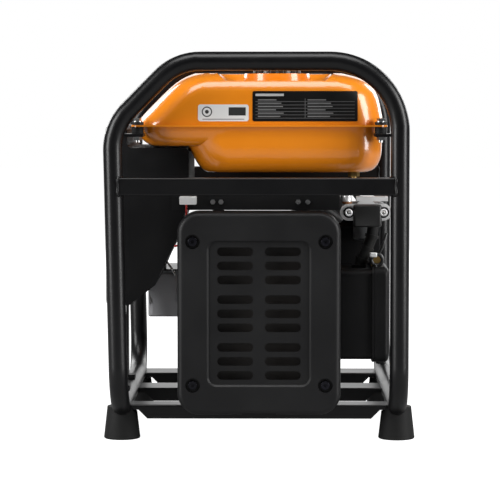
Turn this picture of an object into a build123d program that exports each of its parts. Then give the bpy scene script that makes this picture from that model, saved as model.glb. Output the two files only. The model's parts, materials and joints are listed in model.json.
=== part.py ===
"""Open-frame inverter generator: tube frame, tank, engine, alternator, controls.

Millimetres. +X is the air-cleaner side, -X the control side, the muffler is at -Y,
the recoil starter at +Y, +Z is up. The origin is on the floor under the middle.
"""
from math import cos, radians, sin
import os

from build123d import *

os.makedirs("parts", exist_ok=True)

# ---------------------------------------------------------------- driving sizes
# frame
LEG_X = 187.0            # leg centre from the middle plane
HOOP_Y = 240.0           # plane of each end hoop
TUBE_D = 25.4
TUBE_WALL = 1.8
RUN_Z = 44.0             # centre of the bottom runs
TOP_Z = 511.3            # centre of the top tube
SHOULDER_OUT = 8.0       # how far the control-side leg leans out
SHOULDER_Z = 424.8
CROWN_X = 108.8          # where the sloped stretch meets the top tube
BEND_FOOT = 60.0
BEND_SHOULDER = 75.0
BEND_CORNER = 93.0
RAIL_SIDE = 23.0
RAIL_WALL = 2.0
RAIL_Z = 345.5
CROSS_H = 18.8
CROSS_WALL = 2.5
CROSS_TOP = 46.8
CROSS_FLAT_X = 152.0     # half length of the channel's flat underside
FOOT_Y = 180.0
FOOT_BASE_D = 50.0
FOOT_TOP_D = 40.0
FOOT_BOLT_D = 6.0

# tank
TANK_SHEET = 1.4
SEAM_Z = 425.4
SEAM_SHEET = 1.2
SEAM_X = 172.0
SEAM_Y = 216.0
SEAM_CORNER = 14.0
TANK_TOP = 496.0
TANK_FLOOR = 362.6
TANK_STEP_Z = 398.0      # underside of the shallow, control-side part
FILLER_X = 24.0
FILLER_Y = -95.0
FILLER_D = 66.0
NECK_WALL = 1.5
TANK_BOLT_X = 163.0
TANK_BOLT_Y = 203.0
TANK_BOLT_D = 6.0
RUBBER_D = 16.0
LABEL_FILM = 0.5

# exhaust
COVER_W = 218.0
COVER_H = 272.0
COVER_BOTTOM = 40.0
COVER_FRONT_Y = -245.0
COVER_DEPTH = 38.0
COVER_WALL = 2.5
COVER_CORNER = 29.0
COVER_EDGE = 8.0
COVER_BOLT_X = 88.5
COVER_BOLT_SPAN = 192.0
COVER_BOLT_RECESS_R = 9.8
DRAIN_HALF = 23.0
PANEL_W = 139.0
PANEL_H = 195.5
PANEL_CORNER = 13.0
PANEL_STEP = 2.5
SLOT_W = 48.0
SLOT_H = 11.8
SLOT_X = 31.7
SLOT_PITCH = 18.8
SLOT_GROUP_PITCH = 63.9
MUFFLER_W = 184.0
MUFFLER_BOTTOM = 72.0
MUFFLER_TOP = 300.0
MUFFLER_FRONT_Y = -228.0
MUFFLER_BACK_Y = -136.0
MUFFLER_SHEET = 1.5

# engine
CRANK_X = 5.0
CRANK_Z = 178.0
BED_Z = 63.0             # underside of the engine bed
BED_T = 4.0
TILT = 38.0              # cylinder lean from upright, towards the air cleaner
ENGINE_Y = -5.0          # plane of the cylinder
CASE_NEAR_Y = -70.0
CASE_FAR_Y = 55.0
CASE_R = 70.0
CAVITY_R = 50.0
DECK = 72.0              # crank axis to the cylinder's foot, along the cylinder
BARREL_L = 68.0
HEAD_L = 22.0
VALVE_COVER_L = 20.0
BORE_D = 68.0
STROKE = 54.0
PISTON_L = 38.0
JOURNAL_D = 25.0
RUN_FIT = 0.08           # radial running clearance of shafts and the piston
WEB_R = 42.0
WEB_T = 13.0
PIN_L = 24.0

# alternator, fan and starter
ROTOR_R = 92.0
ROTOR_NEAR_Y = 63.0
ROTOR_FAR_Y = 112.0
FAN_R = 100.0
FAN_L = 20.0
SHROUD_R = 108.5
SHROUD_FAR_Y = 150.0
SHROUD_WALL = 2.5
RECOIL_R = 78.0
RECOIL_FAR_Y = 196.0
RECOIL_WALL = 2.5
REEL_R = 42.0            # radius at which the rope winds
HANDLE_L = 95.0
HANDLE_D = 24.0
ROPE_D = 5.0

# intake
CLEANER_X = 100.0
CLEANER_FLANGE_X = 153.0
CLEANER_LID_T = 19.0
CLEANER_NEAR_Y = -190.0
CLEANER_FAR_Y = -85.0
CLEANER_BOTTOM = 108.0
CLEANER_TOP = 231.0
CLEANER_WALL = 2.2
ELBOW_Y = -166.0
ELBOW_Z = 307.5
ELBOW_NEAR_X = 121.5
ELBOW_SPACING = 47.5
HOSE_D = 15.5
HOSE_RING_D = 19.0

# controls
PANEL_X = -200.0         # face that the switches stand on
RIM_X = -208.5           # front of the fascia's rim
FASCIA_T = 3.0
BOX_NEAR_Y = -178.0
BOX_FAR_Y = 56.0
BOX_WALL = 2.5
BOX_TOP = 395.0
BOX_CREST = 424.0
BOX_BOTTOM = 181.0
KNOB_D = 46.0
SOCKET_D = 48.0
SOCKET_RECESS_D = 40.0
SOCKET_RECESS_L = 14.0
LID_SIDE = 54.0
LID_T = 2.5
GAP = 0.4                # clear gap round a part that moves


nodes = {}               # node name -> its finished pieces


def save(piece, node):
    """Name a finished piece and keep it; fasteners and twins of one kind share a node."""
    piece.part.label = node
    nodes.setdefault(node, []).append(piece.part)


def upright(x, y, z=0.0):
    """Plane across Y at a place, facing the muffler end."""
    return Plane(origin=(x, y, z), x_dir=(1, 0, 0), z_dir=(0, -1, 0))


def level(x, y, z):
    """Horizontal plane at a place."""
    return Plane(origin=(x, y, z), x_dir=(1, 0, 0), z_dir=(0, 0, 1))


def facing_x(x, y, z):
    """Plane across X at a place, facing the control side."""
    return Plane(origin=(x, y, z), x_dir=(0, -1, 0), z_dir=(-1, 0, 0))


def bar(x0, x1, y0, y1, z0, z1, mode=Mode.ADD):
    """Square-cornered block between two corners, in the part that is open."""
    with Locations(((x0 + x1) / 2, (y0 + y1) / 2, (z0 + z1) / 2)):
        Box(x1 - x0, y1 - y0, z1 - z0, mode=mode)


# ---------------------------------------------------------------- frame
def hoop_route(side):
    """Centre line of one end hoop with its two half bottom runs."""
    y = side * HOOP_Y
    with BuildLine() as route:
        FilletPolyline(
            (-LEG_X, 0, RUN_Z),
            (-LEG_X, y, RUN_Z),
            (-LEG_X - SHOULDER_OUT, y, SHOULDER_Z),
            (-CROWN_X, y, TOP_Z),
            (LEG_X, y, TOP_Z),
            (LEG_X, y, RUN_Z),
            (LEG_X, 0, RUN_Z),
            radius=[BEND_FOOT, BEND_SHOULDER, BEND_SHOULDER, BEND_CORNER, BEND_FOOT],
        )
    return route.line


hoop_cores = {}
for hoop_name, side in (("near_hoop", -1), ("far_hoop", 1)):
    route = hoop_route(side)
    start = Plane(origin=route @ 0, z_dir=route % 0)
    with BuildPart() as core:
        with BuildSketch(start):
            Circle(TUBE_D / 2)
        sweep(path=route)
    hoop_cores[side] = core.part
    with BuildPart() as hoop:
        with BuildSketch(start):
            Circle(TUBE_D / 2)
            Circle(TUBE_D / 2 - TUBE_WALL, mode=Mode.SUBTRACT)
        sweep(path=route)
        foot_spots = [(x_side * LEG_X, side * FOOT_Y, RUN_Z - TUBE_D / 2) for x_side in (-1, 1)]
        with Locations(*foot_spots):
            Cylinder(FOOT_BOLT_D / 2 + 0.2, 3 * TUBE_WALL, mode=Mode.SUBTRACT)
    save(hoop, hoop_name)

for side in (-1, 1):
    with BuildPart() as rail:
        with BuildSketch(Plane.YZ.offset(-LEG_X - SHOULDER_OUT)):
            with Locations((side * HOOP_Y, RAIL_Z)):
                RectangleRounded(RAIL_SIDE, RAIL_SIDE, RAIL_WALL)
                Rectangle(RAIL_SIDE - 2 * RAIL_WALL, RAIL_SIDE - 2 * RAIL_WALL, mode=Mode.SUBTRACT)
        extrude(amount=2 * LEG_X + SHOULDER_OUT)
        add(hoop_cores[side], mode=Mode.SUBTRACT)
        for scrap in rail.solids().sort_by(SortBy.VOLUME)[:-1]:
            add(scrap, mode=Mode.SUBTRACT)
    save(rail, "tank_rails")

# bent channels across the two bottom runs, open below: name, middle in Y, width
CROSSMEMBERS = (
    ("near_crossmember", -172.0, 40.0),
    ("middle_crossmember", 15.0, 60.0),
    ("far_crossmember", 190.0, 60.0),
)
CROSS_SLOPE = 12.0
CROSS_END_X = LEG_X - TUBE_D / 2 + 4.0
MOUNT_X = 60.0
STUD_D = 8.0
for cross_name, cross_y, cross_w in CROSSMEMBERS:
    low = CROSS_TOP - CROSS_H
    with BuildPart() as cross:
        with BuildSketch(Plane.XZ.offset(-cross_y - cross_w / 2)):
            with BuildLine():
                Polyline(
                    (-CROSS_FLAT_X, low),
                    (CROSS_FLAT_X, low),
                    (CROSS_FLAT_X + CROSS_SLOPE, low + CROSS_SLOPE),
                    (CROSS_END_X, low + CROSS_SLOPE),
                    (CROSS_END_X, CROSS_TOP),
                    (-CROSS_END_X, CROSS_TOP),
                    (-CROSS_END_X, low + CROSS_SLOPE),
                    (-CROSS_FLAT_X - CROSS_SLOPE, low + CROSS_SLOPE),
                    close=True,
                )
            make_face()
        extrude(amount=cross_w)
        long_edges = cross.edges().filter_by(Axis.X).group_by(Axis.Z)[-1]
        fillet(long_edges, radius=CROSS_WALL)
        bar(
            -CROSS_FLAT_X + CROSS_WALL, CROSS_FLAT_X - CROSS_WALL,
            cross_y - cross_w / 2 + CROSS_WALL, cross_y + cross_w / 2 - CROSS_WALL,
            low - 1, CROSS_TOP - CROSS_WALL, Mode.SUBTRACT,
        )
        add(hoop_cores[-1], mode=Mode.SUBTRACT)
        add(hoop_cores[1], mode=Mode.SUBTRACT)
        for scrap in cross.solids().sort_by(SortBy.VOLUME)[:-1]:
            add(scrap, mode=Mode.SUBTRACT)
        if cross_name != "far_crossmember":
            with Locations((-MOUNT_X, cross_y, CROSS_TOP), (MOUNT_X, cross_y, CROSS_TOP)):
                Cylinder(STUD_D / 2, 3 * CROSS_WALL, mode=Mode.SUBTRACT)
    save(cross, "crossmembers")

FOOT_HEAD_R = 6.0
FOOT_HEAD_Z = 8.0
FOOT_HEAD_L = 4.0
for x_side in (-1, 1):
    for y_side in (-1, 1):
        with BuildPart() as foot:
            with BuildSketch(level(x_side * LEG_X, y_side * FOOT_Y, 0)):
                Circle(FOOT_BASE_D / 2)
            with BuildSketch(level(x_side * LEG_X, y_side * FOOT_Y, RUN_Z)):
                Circle(FOOT_TOP_D / 2)
            loft()
            fillet(foot.edges().group_by(Axis.Z)[0], radius=2.0)
            add(hoop_cores[y_side], mode=Mode.SUBTRACT)
            for _, cross_y, cross_w in CROSSMEMBERS:
                inner_x = x_side * (LEG_X - FOOT_BASE_D)
                outer_x = x_side * (CROSS_END_X + GAP)
                bar(
                    min(inner_x, outer_x), max(inner_x, outer_x),
                    cross_y - cross_w / 2 - GAP, cross_y + cross_w / 2 + GAP,
                    CROSS_TOP - CROSS_H + CROSS_SLOPE - 3, RUN_Z + 1, Mode.SUBTRACT,
                )
            for scrap in foot.solids().sort_by(SortBy.VOLUME)[:-1]:
                add(scrap, mode=Mode.SUBTRACT)
            with Locations((x_side * LEG_X, y_side * FOOT_Y, RUN_Z / 2)):
                Cylinder(FOOT_BOLT_D / 2 + 0.2, RUN_Z, mode=Mode.SUBTRACT)
            with Locations((x_side * LEG_X, y_side * FOOT_Y, (FOOT_HEAD_Z + FOOT_HEAD_L) / 2)):
                Cylinder(FOOT_HEAD_R + 1, FOOT_HEAD_Z + FOOT_HEAD_L, mode=Mode.SUBTRACT)
        save(foot, "rubber_feet")

with BuildPart() as foot_bolts:
    for spot in GridLocations(2 * LEG_X, 2 * FOOT_Y, 2, 2):
        place = spot.position
        with BuildSketch(level(place.X, place.Y, FOOT_HEAD_Z)):
            RegularPolygon(FOOT_HEAD_R, 6)
        extrude(amount=FOOT_HEAD_L)
        with BuildSketch(level(place.X, place.Y, FOOT_HEAD_Z + FOOT_HEAD_L)):
            Circle(FOOT_BOLT_D / 2)
        extrude(amount=RUN_Z - TUBE_D / 2 + 4 - FOOT_HEAD_Z - FOOT_HEAD_L)
save(foot_bolts, "zinc_fasteners")

# ---------------------------------------------------------------- tank
# level sections of the upper shell: height over the seam, low X, high X, half length, corner
UPPER_SECTIONS = (
    (0.0, -167.0, 167.5, 209.0, 50.0),
    (11.0, -160.0, 167.0, 208.0, 49.0),
    (29.0, -143.0, 163.5, 205.2, 47.0),
    (47.0, -125.0, 157.0, 202.0, 45.0),
    (61.0, -108.0, 142.0, 193.0, 42.0),
    (TANK_TOP - SEAM_Z, -88.0, 113.0, 172.0, 36.0),
)
# the same for the deep tub under the seam, down from it
DEEP_SECTIONS = (
    (0.0, -100.0, 167.5, 209.0, 50.0),
    (SEAM_Z - TANK_STEP_Z, -97.0, 166.5, 208.0, 49.0),
    (45.0, -88.0, 164.5, 205.5, 47.0),
    (56.0, -81.0, 159.0, 200.0, 43.0),
    (SEAM_Z - TANK_FLOOR, -72.0, 148.0, 190.0, 36.0),
)
SHALLOW_SECTIONS = (
    (0.0, -167.0, 0.0, 209.0, 50.0),
    (12.0, -164.0, 0.0, 207.5, 49.0),
    (21.0, -157.0, 0.0, 203.0, 45.0),
    (SEAM_Z - TANK_STEP_Z, -146.0, 0.0, 193.0, 38.0),
)
RECESS_DEPTH = 10.0
RECESS_LOW_X = -46.0
RECESS_HIGH_X = 90.0
RECESS_FLARE = 12.0
COLLAR_R = 47.0


def tank_form(sections, direction, inset):
    """Solid lofted through rounded sections, each drawn in by the inset."""
    with BuildPart(mode=Mode.PRIVATE) as form:
        last = len(sections) - 1
        for index, (rise, x_low, x_high, half, corner) in enumerate(sections):
            cap = inset if index == last else 0.0
            with BuildSketch(Plane.XY.offset(SEAM_Z + direction * (rise - cap))):
                with Locations(((x_low + x_high) / 2, 0)):
                    RectangleRounded(x_high - x_low - 2 * inset, 2 * half - 2 * inset, corner - inset)
        loft()
    return form.part


def filler_recess(sink):
    """Tapered pocket round the filler, open to the near end; sink lowers its floor and sides."""
    middle = (RECESS_LOW_X + RECESS_HIGH_X) / 2
    width = RECESS_HIGH_X - RECESS_LOW_X
    far_y = FILLER_Y + COLLAR_R + 14
    near_y = -SEAM_Y
    with BuildPart(mode=Mode.PRIVATE) as pocket:
        with BuildSketch(Plane.XY.offset(TANK_TOP - RECESS_DEPTH - sink)):
            with Locations((middle, (near_y + far_y) / 2)):
                RectangleRounded(width + 2 * sink, far_y - near_y + 2 * sink, 20)
        with BuildSketch(Plane.XY.offset(TANK_TOP + 1)):
            with Locations((middle, (near_y + far_y) / 2)):
                RectangleRounded(
                    width + 2 * RECESS_FLARE + 2 * sink, far_y - near_y + 2 * RECESS_FLARE + 2 * sink, 28
                )
        loft()
    return pocket.part


with BuildSketch(Plane.XY) as seam_outline:
    RectangleRounded(2 * SEAM_X, 2 * SEAM_Y, SEAM_CORNER)

BOLT_SPOTS = [(x * TANK_BOLT_X, y * TANK_BOLT_Y) for x in (-1, 1) for y in (-1, 1)]

upper_outside = tank_form(UPPER_SECTIONS, 1, 0.0)
with BuildPart() as upper_inside:
    add(tank_form(UPPER_SECTIONS, 1, TANK_SHEET))
    add(filler_recess(TANK_SHEET), mode=Mode.SUBTRACT)
    with BuildSketch(level(FILLER_X, FILLER_Y, TANK_TOP - RECESS_DEPTH - 4)):
        Circle(COLLAR_R - TANK_SHEET)
    extrude(amount=RECESS_DEPTH + 4 - TANK_SHEET, taper=8)

with BuildPart() as tank_upper_shell:
    with BuildSketch(Plane.XY.offset(SEAM_Z)):
        add(seam_outline.sketch)
    extrude(amount=SEAM_SHEET)
    add(upper_outside)
    add(filler_recess(0.0), mode=Mode.SUBTRACT)
    with BuildSketch(level(FILLER_X, FILLER_Y, TANK_TOP - RECESS_DEPTH - 2)):
        Circle(COLLAR_R)
    extrude(amount=RECESS_DEPTH + 2, taper=8)
    add(upper_inside.part, mode=Mode.SUBTRACT)
    with Locations((FILLER_X, FILLER_Y, TANK_TOP)):
        Cylinder(FILLER_D / 2 - 8, 30, mode=Mode.SUBTRACT)
    with Locations((FILLER_X, -FILLER_Y, TANK_TOP)):
        Cylinder(19, 20, mode=Mode.SUBTRACT)
    with Locations(*[(x, y, SEAM_Z) for x, y in BOLT_SPOTS]):
        Cylinder(TANK_BOLT_D / 2 + 0.3, 6, mode=Mode.SUBTRACT)
save(tank_upper_shell, "tank_upper_shell")

with BuildPart() as lower_inside:
    add(tank_form(DEEP_SECTIONS, -1, TANK_SHEET))
    add(tank_form(SHALLOW_SECTIONS, -1, TANK_SHEET))

with BuildPart() as tank_lower_shell:
    with BuildSketch(Plane.XY.offset(SEAM_Z - SEAM_SHEET)):
        add(seam_outline.sketch)
    extrude(amount=SEAM_SHEET)
    add(tank_form(DEEP_SECTIONS, -1, 0.0))
    add(tank_form(SHALLOW_SECTIONS, -1, 0.0))
    add(lower_inside.part, mode=Mode.SUBTRACT)
    with Locations(*[(x, y, SEAM_Z) for x, y in BOLT_SPOTS]):
        Cylinder(TANK_BOLT_D / 2 + 0.3, 6, mode=Mode.SUBTRACT)
save(tank_lower_shell, "tank_lower_shell")

NECK_TOP = TANK_TOP + 7
NECK_R = FILLER_D / 2 - 8
CAP_H = 16.0
with BuildPart() as filler_neck:
    with BuildSketch(level(FILLER_X, FILLER_Y, TANK_TOP - 22)):
        Circle(NECK_R)
        Circle(NECK_R - NECK_WALL, mode=Mode.SUBTRACT)
    extrude(amount=NECK_TOP - TANK_TOP + 22)
save(filler_neck, "tank_upper_shell")

with BuildPart() as strainer:
    with BuildSketch(level(FILLER_X, FILLER_Y, TANK_TOP - 60)):
        Circle(NECK_R - NECK_WALL - 1.5)
    extrude(amount=NECK_TOP - TANK_TOP + 60)
    with BuildSketch(level(FILLER_X, FILLER_Y, TANK_TOP - 59)):
        Circle(NECK_R - NECK_WALL - 2.5)
    extrude(amount=NECK_TOP - TANK_TOP + 60, mode=Mode.SUBTRACT)
save(strainer, "fuel_strainer")

with BuildPart() as fuel_cap:
    with BuildSketch(level(FILLER_X, FILLER_Y, TANK_TOP + GAP)):
        Circle(FILLER_D / 2)
    extrude(amount=CAP_H)
    fillet(fuel_cap.edges().group_by(Axis.Z)[-1], radius=3)
    with BuildSketch(level(FILLER_X, FILLER_Y, TANK_TOP)):
        Circle(NECK_R + GAP)
    extrude(amount=NECK_TOP - TANK_TOP + GAP, mode=Mode.SUBTRACT)
    with BuildSketch(level(FILLER_X, FILLER_Y, TANK_TOP + GAP)):
        with PolarLocations(FILLER_D / 2 + 0.6, 20):
            Circle(2.2)
    extrude(amount=CAP_H, mode=Mode.SUBTRACT)
save(fuel_cap, "fuel_cap")

with BuildPart() as fuel_gauge:
    with BuildSketch(level(FILLER_X, -FILLER_Y, TANK_TOP)):
        Circle(23)
    extrude(amount=5)
    fillet(fuel_gauge.edges().group_by(Axis.Z)[-1], radius=2)
    with BuildSketch(level(FILLER_X, -FILLER_Y, TANK_TOP - 12)):
        Circle(18.5)
    extrude(amount=12)
    with BuildSketch(level(FILLER_X, -FILLER_Y, TANK_TOP + 3.5)):
        Circle(16)
    extrude(amount=5, mode=Mode.SUBTRACT)
save(fuel_gauge, "fuel_gauge")

with BuildPart() as gauge_lens:
    with BuildSketch(level(FILLER_X, -FILLER_Y, TANK_TOP + 3.5)):
        Circle(16)
    extrude(amount=1.2)
save(gauge_lens, "fuel_gauge")

# tabs from the hoops that carry the tank on rubbers
BRACKET_T = 4.0
RUBBER_H = 9.0
TAB_TOP = SEAM_Z - SEAM_SHEET - RUBBER_H
TAB_HALF = 9.0
with BuildPart() as tank_brackets:
    for x, y in BOLT_SPOTS:
        x_side = 1 if x > 0 else -1
        y_side = 1 if y > 0 else -1
        across = sorted((x - x_side * TAB_HALF, x_side * LEG_X))
        along = sorted((y - y_side * TAB_HALF, y_side * HOOP_Y))
        bar(*across, *along, TAB_TOP - BRACKET_T, TAB_TOP)
        with Locations((x, y, TAB_TOP)):
            Cylinder(TANK_BOLT_D / 2 + 0.3, 3 * BRACKET_T, mode=Mode.SUBTRACT)
    add(hoop_cores[-1], mode=Mode.SUBTRACT)
    add(hoop_cores[1], mode=Mode.SUBTRACT)
save(tank_brackets, "tank_rails")

with BuildPart() as tank_rubbers:
    for x, y in BOLT_SPOTS:
        for z_low, tall in ((TAB_TOP, RUBBER_H), (SEAM_Z + SEAM_SHEET, 4.0)):
            with BuildSketch(level(x, y, z_low)):
                Circle(RUBBER_D / 2)
                Circle(TANK_BOLT_D / 2, mode=Mode.SUBTRACT)
            extrude(amount=tall)
save(tank_rubbers, "rubber_mounts")

with BuildPart() as tank_bolts:
    for x, y in BOLT_SPOTS:
        head_z = SEAM_Z + SEAM_SHEET + 4.0
        with BuildSketch(level(x, y, TAB_TOP - 12)):
            Circle(TANK_BOLT_D / 2)
        extrude(amount=head_z - TAB_TOP + 12)
        with BuildSketch(level(x, y, head_z)):
            Circle(6.5)
        extrude(amount=1.0)
        with BuildSketch(level(x, y, head_z + 1.0)):
            RegularPolygon(5.5, 6)
        extrude(amount=4.0)
        with BuildSketch(level(x, y, TAB_TOP - BRACKET_T - 5)):
            RegularPolygon(5.5, 6)
        extrude(amount=5.0)
save(tank_bolts, "zinc_fasteners")


film_stock = tank_form(UPPER_SECTIONS, 1, -LABEL_FILM) - upper_outside


def film(x_low, x_high, z_low, z_high, corner):
    """Thin plate that follows the tank's near face."""
    with BuildPart(mode=Mode.PRIVATE) as skin:
        add(film_stock)
        with BuildSketch(Plane.XZ.offset(SEAM_Y)):
            with Locations(((x_low + x_high) / 2, (z_low + z_high) / 2)):
                RectangleRounded(x_high - x_low, z_high - z_low, corner)
        extrude(amount=-SEAM_Y / 2, mode=Mode.INTERSECT)
    return skin.part


with BuildPart() as rating_plate:
    add(film(-9.0, 132.0, 431.5, 472.0, 2.5))
save(rating_plate, "rating_plate")

with BuildPart() as advice_label:
    add(film(-82.0, -14.0, 431.5, 454.0, 3.5))
save(advice_label, "advice_label")

# ---------------------------------------------------------------- exhaust
COVER_Z = COVER_BOTTOM + COVER_H / 2
COVER_BACK_Y = COVER_FRONT_Y + COVER_DEPTH
COVER_BOLTS = [(x * COVER_BOLT_X, COVER_Z + z * COVER_BOLT_SPAN / 2) for x in (-1, 1) for z in (-1, 1)]
SLOT_ROWS = [
    COVER_Z + group * SLOT_GROUP_PITCH + row * SLOT_PITCH for group in (-1, 0, 1) for row in (-1, 0, 1)
]
SLOT_SPOTS = [(x * SLOT_X, z) for x in (-1, 1) for z in SLOT_ROWS]
BOSS_L = 5.0
BOSS_R = 13.0
COVER_BOLT_D = 6.0

with BuildPart() as muffler_cover:
    with BuildSketch(upright(0, COVER_FRONT_Y, COVER_Z)):
        RectangleRounded(COVER_W, COVER_H, COVER_CORNER)
    extrude(amount=-COVER_DEPTH)
    fillet(muffler_cover.edges().group_by(Axis.Y)[0], radius=COVER_EDGE)
    with BuildSketch(upright(0, COVER_FRONT_Y + COVER_WALL, COVER_Z)):
        RectangleRounded(COVER_W - 2 * COVER_WALL, COVER_H - 2 * COVER_WALL, COVER_CORNER - COVER_WALL)
    extrude(amount=-COVER_DEPTH, mode=Mode.SUBTRACT)
    with BuildSketch(upright(0, COVER_FRONT_Y + COVER_WALL, COVER_Z)):
        RectangleRounded(COVER_W - 2 * COVER_WALL, COVER_H - 2 * COVER_WALL, COVER_CORNER - COVER_WALL)
        RectangleRounded(
            COVER_W - 2 * COVER_EDGE - 4,
            COVER_H - 2 * COVER_EDGE - 4,
            COVER_CORNER - COVER_EDGE,
            mode=Mode.SUBTRACT,
        )
    extrude(amount=-COVER_EDGE / 2)
    with BuildSketch(upright(0, COVER_FRONT_Y + COVER_WALL, COVER_Z)):
        RectangleRounded(PANEL_W + 2 * COVER_WALL, PANEL_H + 2 * COVER_WALL, PANEL_CORNER + COVER_WALL)
    extrude(amount=-PANEL_STEP)
    with BuildSketch(upright(0, COVER_FRONT_Y + COVER_WALL, 0)):
        with Locations(*COVER_BOLTS):
            Circle(BOSS_R)
    extrude(amount=-BOSS_L)
    with BuildSketch(upright(0, COVER_FRONT_Y + PANEL_STEP, COVER_Z)):
        RectangleRounded(PANEL_W - 2 * PANEL_STEP, PANEL_H - 2 * PANEL_STEP, PANEL_CORNER - PANEL_STEP)
    with BuildSketch(upright(0, COVER_FRONT_Y, COVER_Z)):
        RectangleRounded(PANEL_W, PANEL_H, PANEL_CORNER)
    loft(mode=Mode.SUBTRACT)
    with BuildSketch(upright(0, COVER_FRONT_Y, 0)):
        with Locations(*COVER_BOLTS):
            Circle(COVER_BOLT_RECESS_R)
    extrude(amount=-COVER_WALL - BOSS_L / 2, mode=Mode.SUBTRACT)
    with BuildSketch(upright(0, COVER_FRONT_Y, 0)):
        with Locations(*COVER_BOLTS):
            Circle(COVER_BOLT_D / 2 + 0.2)
        with Locations(*SLOT_SPOTS):
            SlotOverall(SLOT_W, SLOT_H)
    extrude(amount=-COVER_WALL - BOSS_L, mode=Mode.SUBTRACT)
    bar(
        -DRAIN_HALF, DRAIN_HALF, COVER_FRONT_Y - 1, COVER_BACK_Y + 1,
        COVER_BOTTOM - 1, COVER_BOTTOM + COVER_WALL, Mode.SUBTRACT,
    )
save(muffler_cover, "muffler_cover")

MUFFLER_Z = (MUFFLER_BOTTOM + MUFFLER_TOP) / 2
MUFFLER_CORNER = 24.0
PIPE_X = 66.0
PIPE_Z = 266.0
PIPE_R = 13.0
TAIL_X = -60.0
TAIL_Z = 96.0
TAIL_R = 9.0
LUG_R = 9.0
MUFFLER_EDGE = 8.0
with BuildPart() as muffler_inside:
    inner_w = MUFFLER_W - 2 * MUFFLER_SHEET
    inner_h = MUFFLER_TOP - MUFFLER_BOTTOM - 2 * MUFFLER_SHEET
    with BuildSketch(upright(0, MUFFLER_FRONT_Y + MUFFLER_SHEET, MUFFLER_Z)):
        RectangleRounded(inner_w, inner_h, MUFFLER_CORNER - MUFFLER_SHEET)
    extrude(amount=MUFFLER_FRONT_Y - MUFFLER_BACK_Y + 2 * MUFFLER_SHEET)
    fillet(muffler_inside.edges().filter_by(Plane.XZ), radius=MUFFLER_EDGE - MUFFLER_SHEET)

with BuildPart() as muffler_body:
    with BuildSketch(upright(0, MUFFLER_FRONT_Y, MUFFLER_Z)):
        RectangleRounded(MUFFLER_W, MUFFLER_TOP - MUFFLER_BOTTOM, MUFFLER_CORNER)
    extrude(amount=MUFFLER_FRONT_Y - MUFFLER_BACK_Y)
    fillet(muffler_body.edges().filter_by(Plane.XZ), radius=MUFFLER_EDGE)
    with BuildSketch(upright(0, COVER_FRONT_Y + COVER_WALL + BOSS_L, 0)):
        with Locations(*COVER_BOLTS):
            Circle(LUG_R)
    extrude(amount=-(MUFFLER_FRONT_Y - COVER_FRONT_Y + 4))
    add(muffler_inside.part, mode=Mode.SUBTRACT)
    with BuildSketch(upright(PIPE_X, MUFFLER_BACK_Y, PIPE_Z)):
        Circle(PIPE_R - 2)
    extrude(amount=20, both=True, mode=Mode.SUBTRACT)
    with BuildSketch(upright(TAIL_X, MUFFLER_BACK_Y, TAIL_Z)):
        Circle(TAIL_R - 2)
    extrude(amount=20, both=True, mode=Mode.SUBTRACT)
    with BuildSketch(upright(0, COVER_FRONT_Y, 0)):
        with Locations(*COVER_BOLTS):
            Circle(COVER_BOLT_D / 2)
    extrude(amount=-24, mode=Mode.SUBTRACT)
save(muffler_body, "muffler_body")

with BuildPart() as tail_pipe:
    with BuildSketch(upright(TAIL_X, MUFFLER_BACK_Y, TAIL_Z)):
        Circle(TAIL_R)
        Circle(TAIL_R - 2, mode=Mode.SUBTRACT)
    extrude(amount=-28)
save(tail_pipe, "muffler_body")

with BuildPart() as cover_bolts:
    with BuildSketch(upright(0, COVER_FRONT_Y + COVER_WALL + BOSS_L / 2, 0)):
        with Locations(*COVER_BOLTS):
            Circle(6.2)
    extrude(amount=3.2)
    fillet(cover_bolts.edges().group_by(Axis.Y)[0], radius=1.2)
    with BuildSketch(upright(0, COVER_FRONT_Y + 1.6, 0)):
        with Locations(*COVER_BOLTS):
            RegularPolygon(2.6, 6)
    extrude(amount=-2.2, mode=Mode.SUBTRACT)
    with BuildSketch(upright(0, COVER_FRONT_Y + COVER_WALL + BOSS_L / 2, 0)):
        with Locations(*COVER_BOLTS):
            Circle(COVER_BOLT_D / 2)
    extrude(amount=-16)
save(cover_bolts, "cover_bolts")

SHIELD_Y = -198.0
SHIELD_TOP = 334.0
SHIELD_T = 1.5
SHIELD_FAR_Y = -75.0
SHIELD_SCREWS = [(x, 323.0) for x in (-62.5, -51.5, 52.5, 65.5)]
with BuildPart() as heat_shield:
    bar(-118, 108, SHIELD_Y, SHIELD_Y + SHIELD_T, 312.0, SHIELD_TOP)
    bar(-92, 96, SHIELD_Y, SHIELD_FAR_Y, SHIELD_TOP - SHIELD_T, SHIELD_TOP)
    for leg_x in (-57.0, 57.0):
        leg_y = SHIELD_FAR_Y - 28.5
        bar(leg_x - 8, leg_x + 8, leg_y - SHIELD_T, leg_y, MUFFLER_TOP, SHIELD_TOP)
        bar(leg_x - 8, leg_x + 8, leg_y - 33.5, leg_y, MUFFLER_TOP, MUFFLER_TOP + SHIELD_T)
    with BuildSketch(upright(0, SHIELD_Y, 0)):
        with Locations(*SHIELD_SCREWS):
            Circle(1.7)
    extrude(amount=-SHIELD_T, mode=Mode.SUBTRACT)
save(heat_shield, "heat_shield")

with BuildPart() as shield_screws:
    with BuildSketch(upright(0, SHIELD_Y, 0)):
        with Locations(*SHIELD_SCREWS):
            RegularPolygon(3.6, 6)
    extrude(amount=2.6)
    with BuildSketch(upright(0, SHIELD_Y, 0)):
        with Locations(*SHIELD_SCREWS):
            Circle(1.7)
    extrude(amount=-6)
save(shield_screws, "zinc_fasteners")

# ---------------------------------------------------------------- engine
LEAN_X = sin(radians(TILT))
LEAN_Z = cos(radians(TILT))


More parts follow.
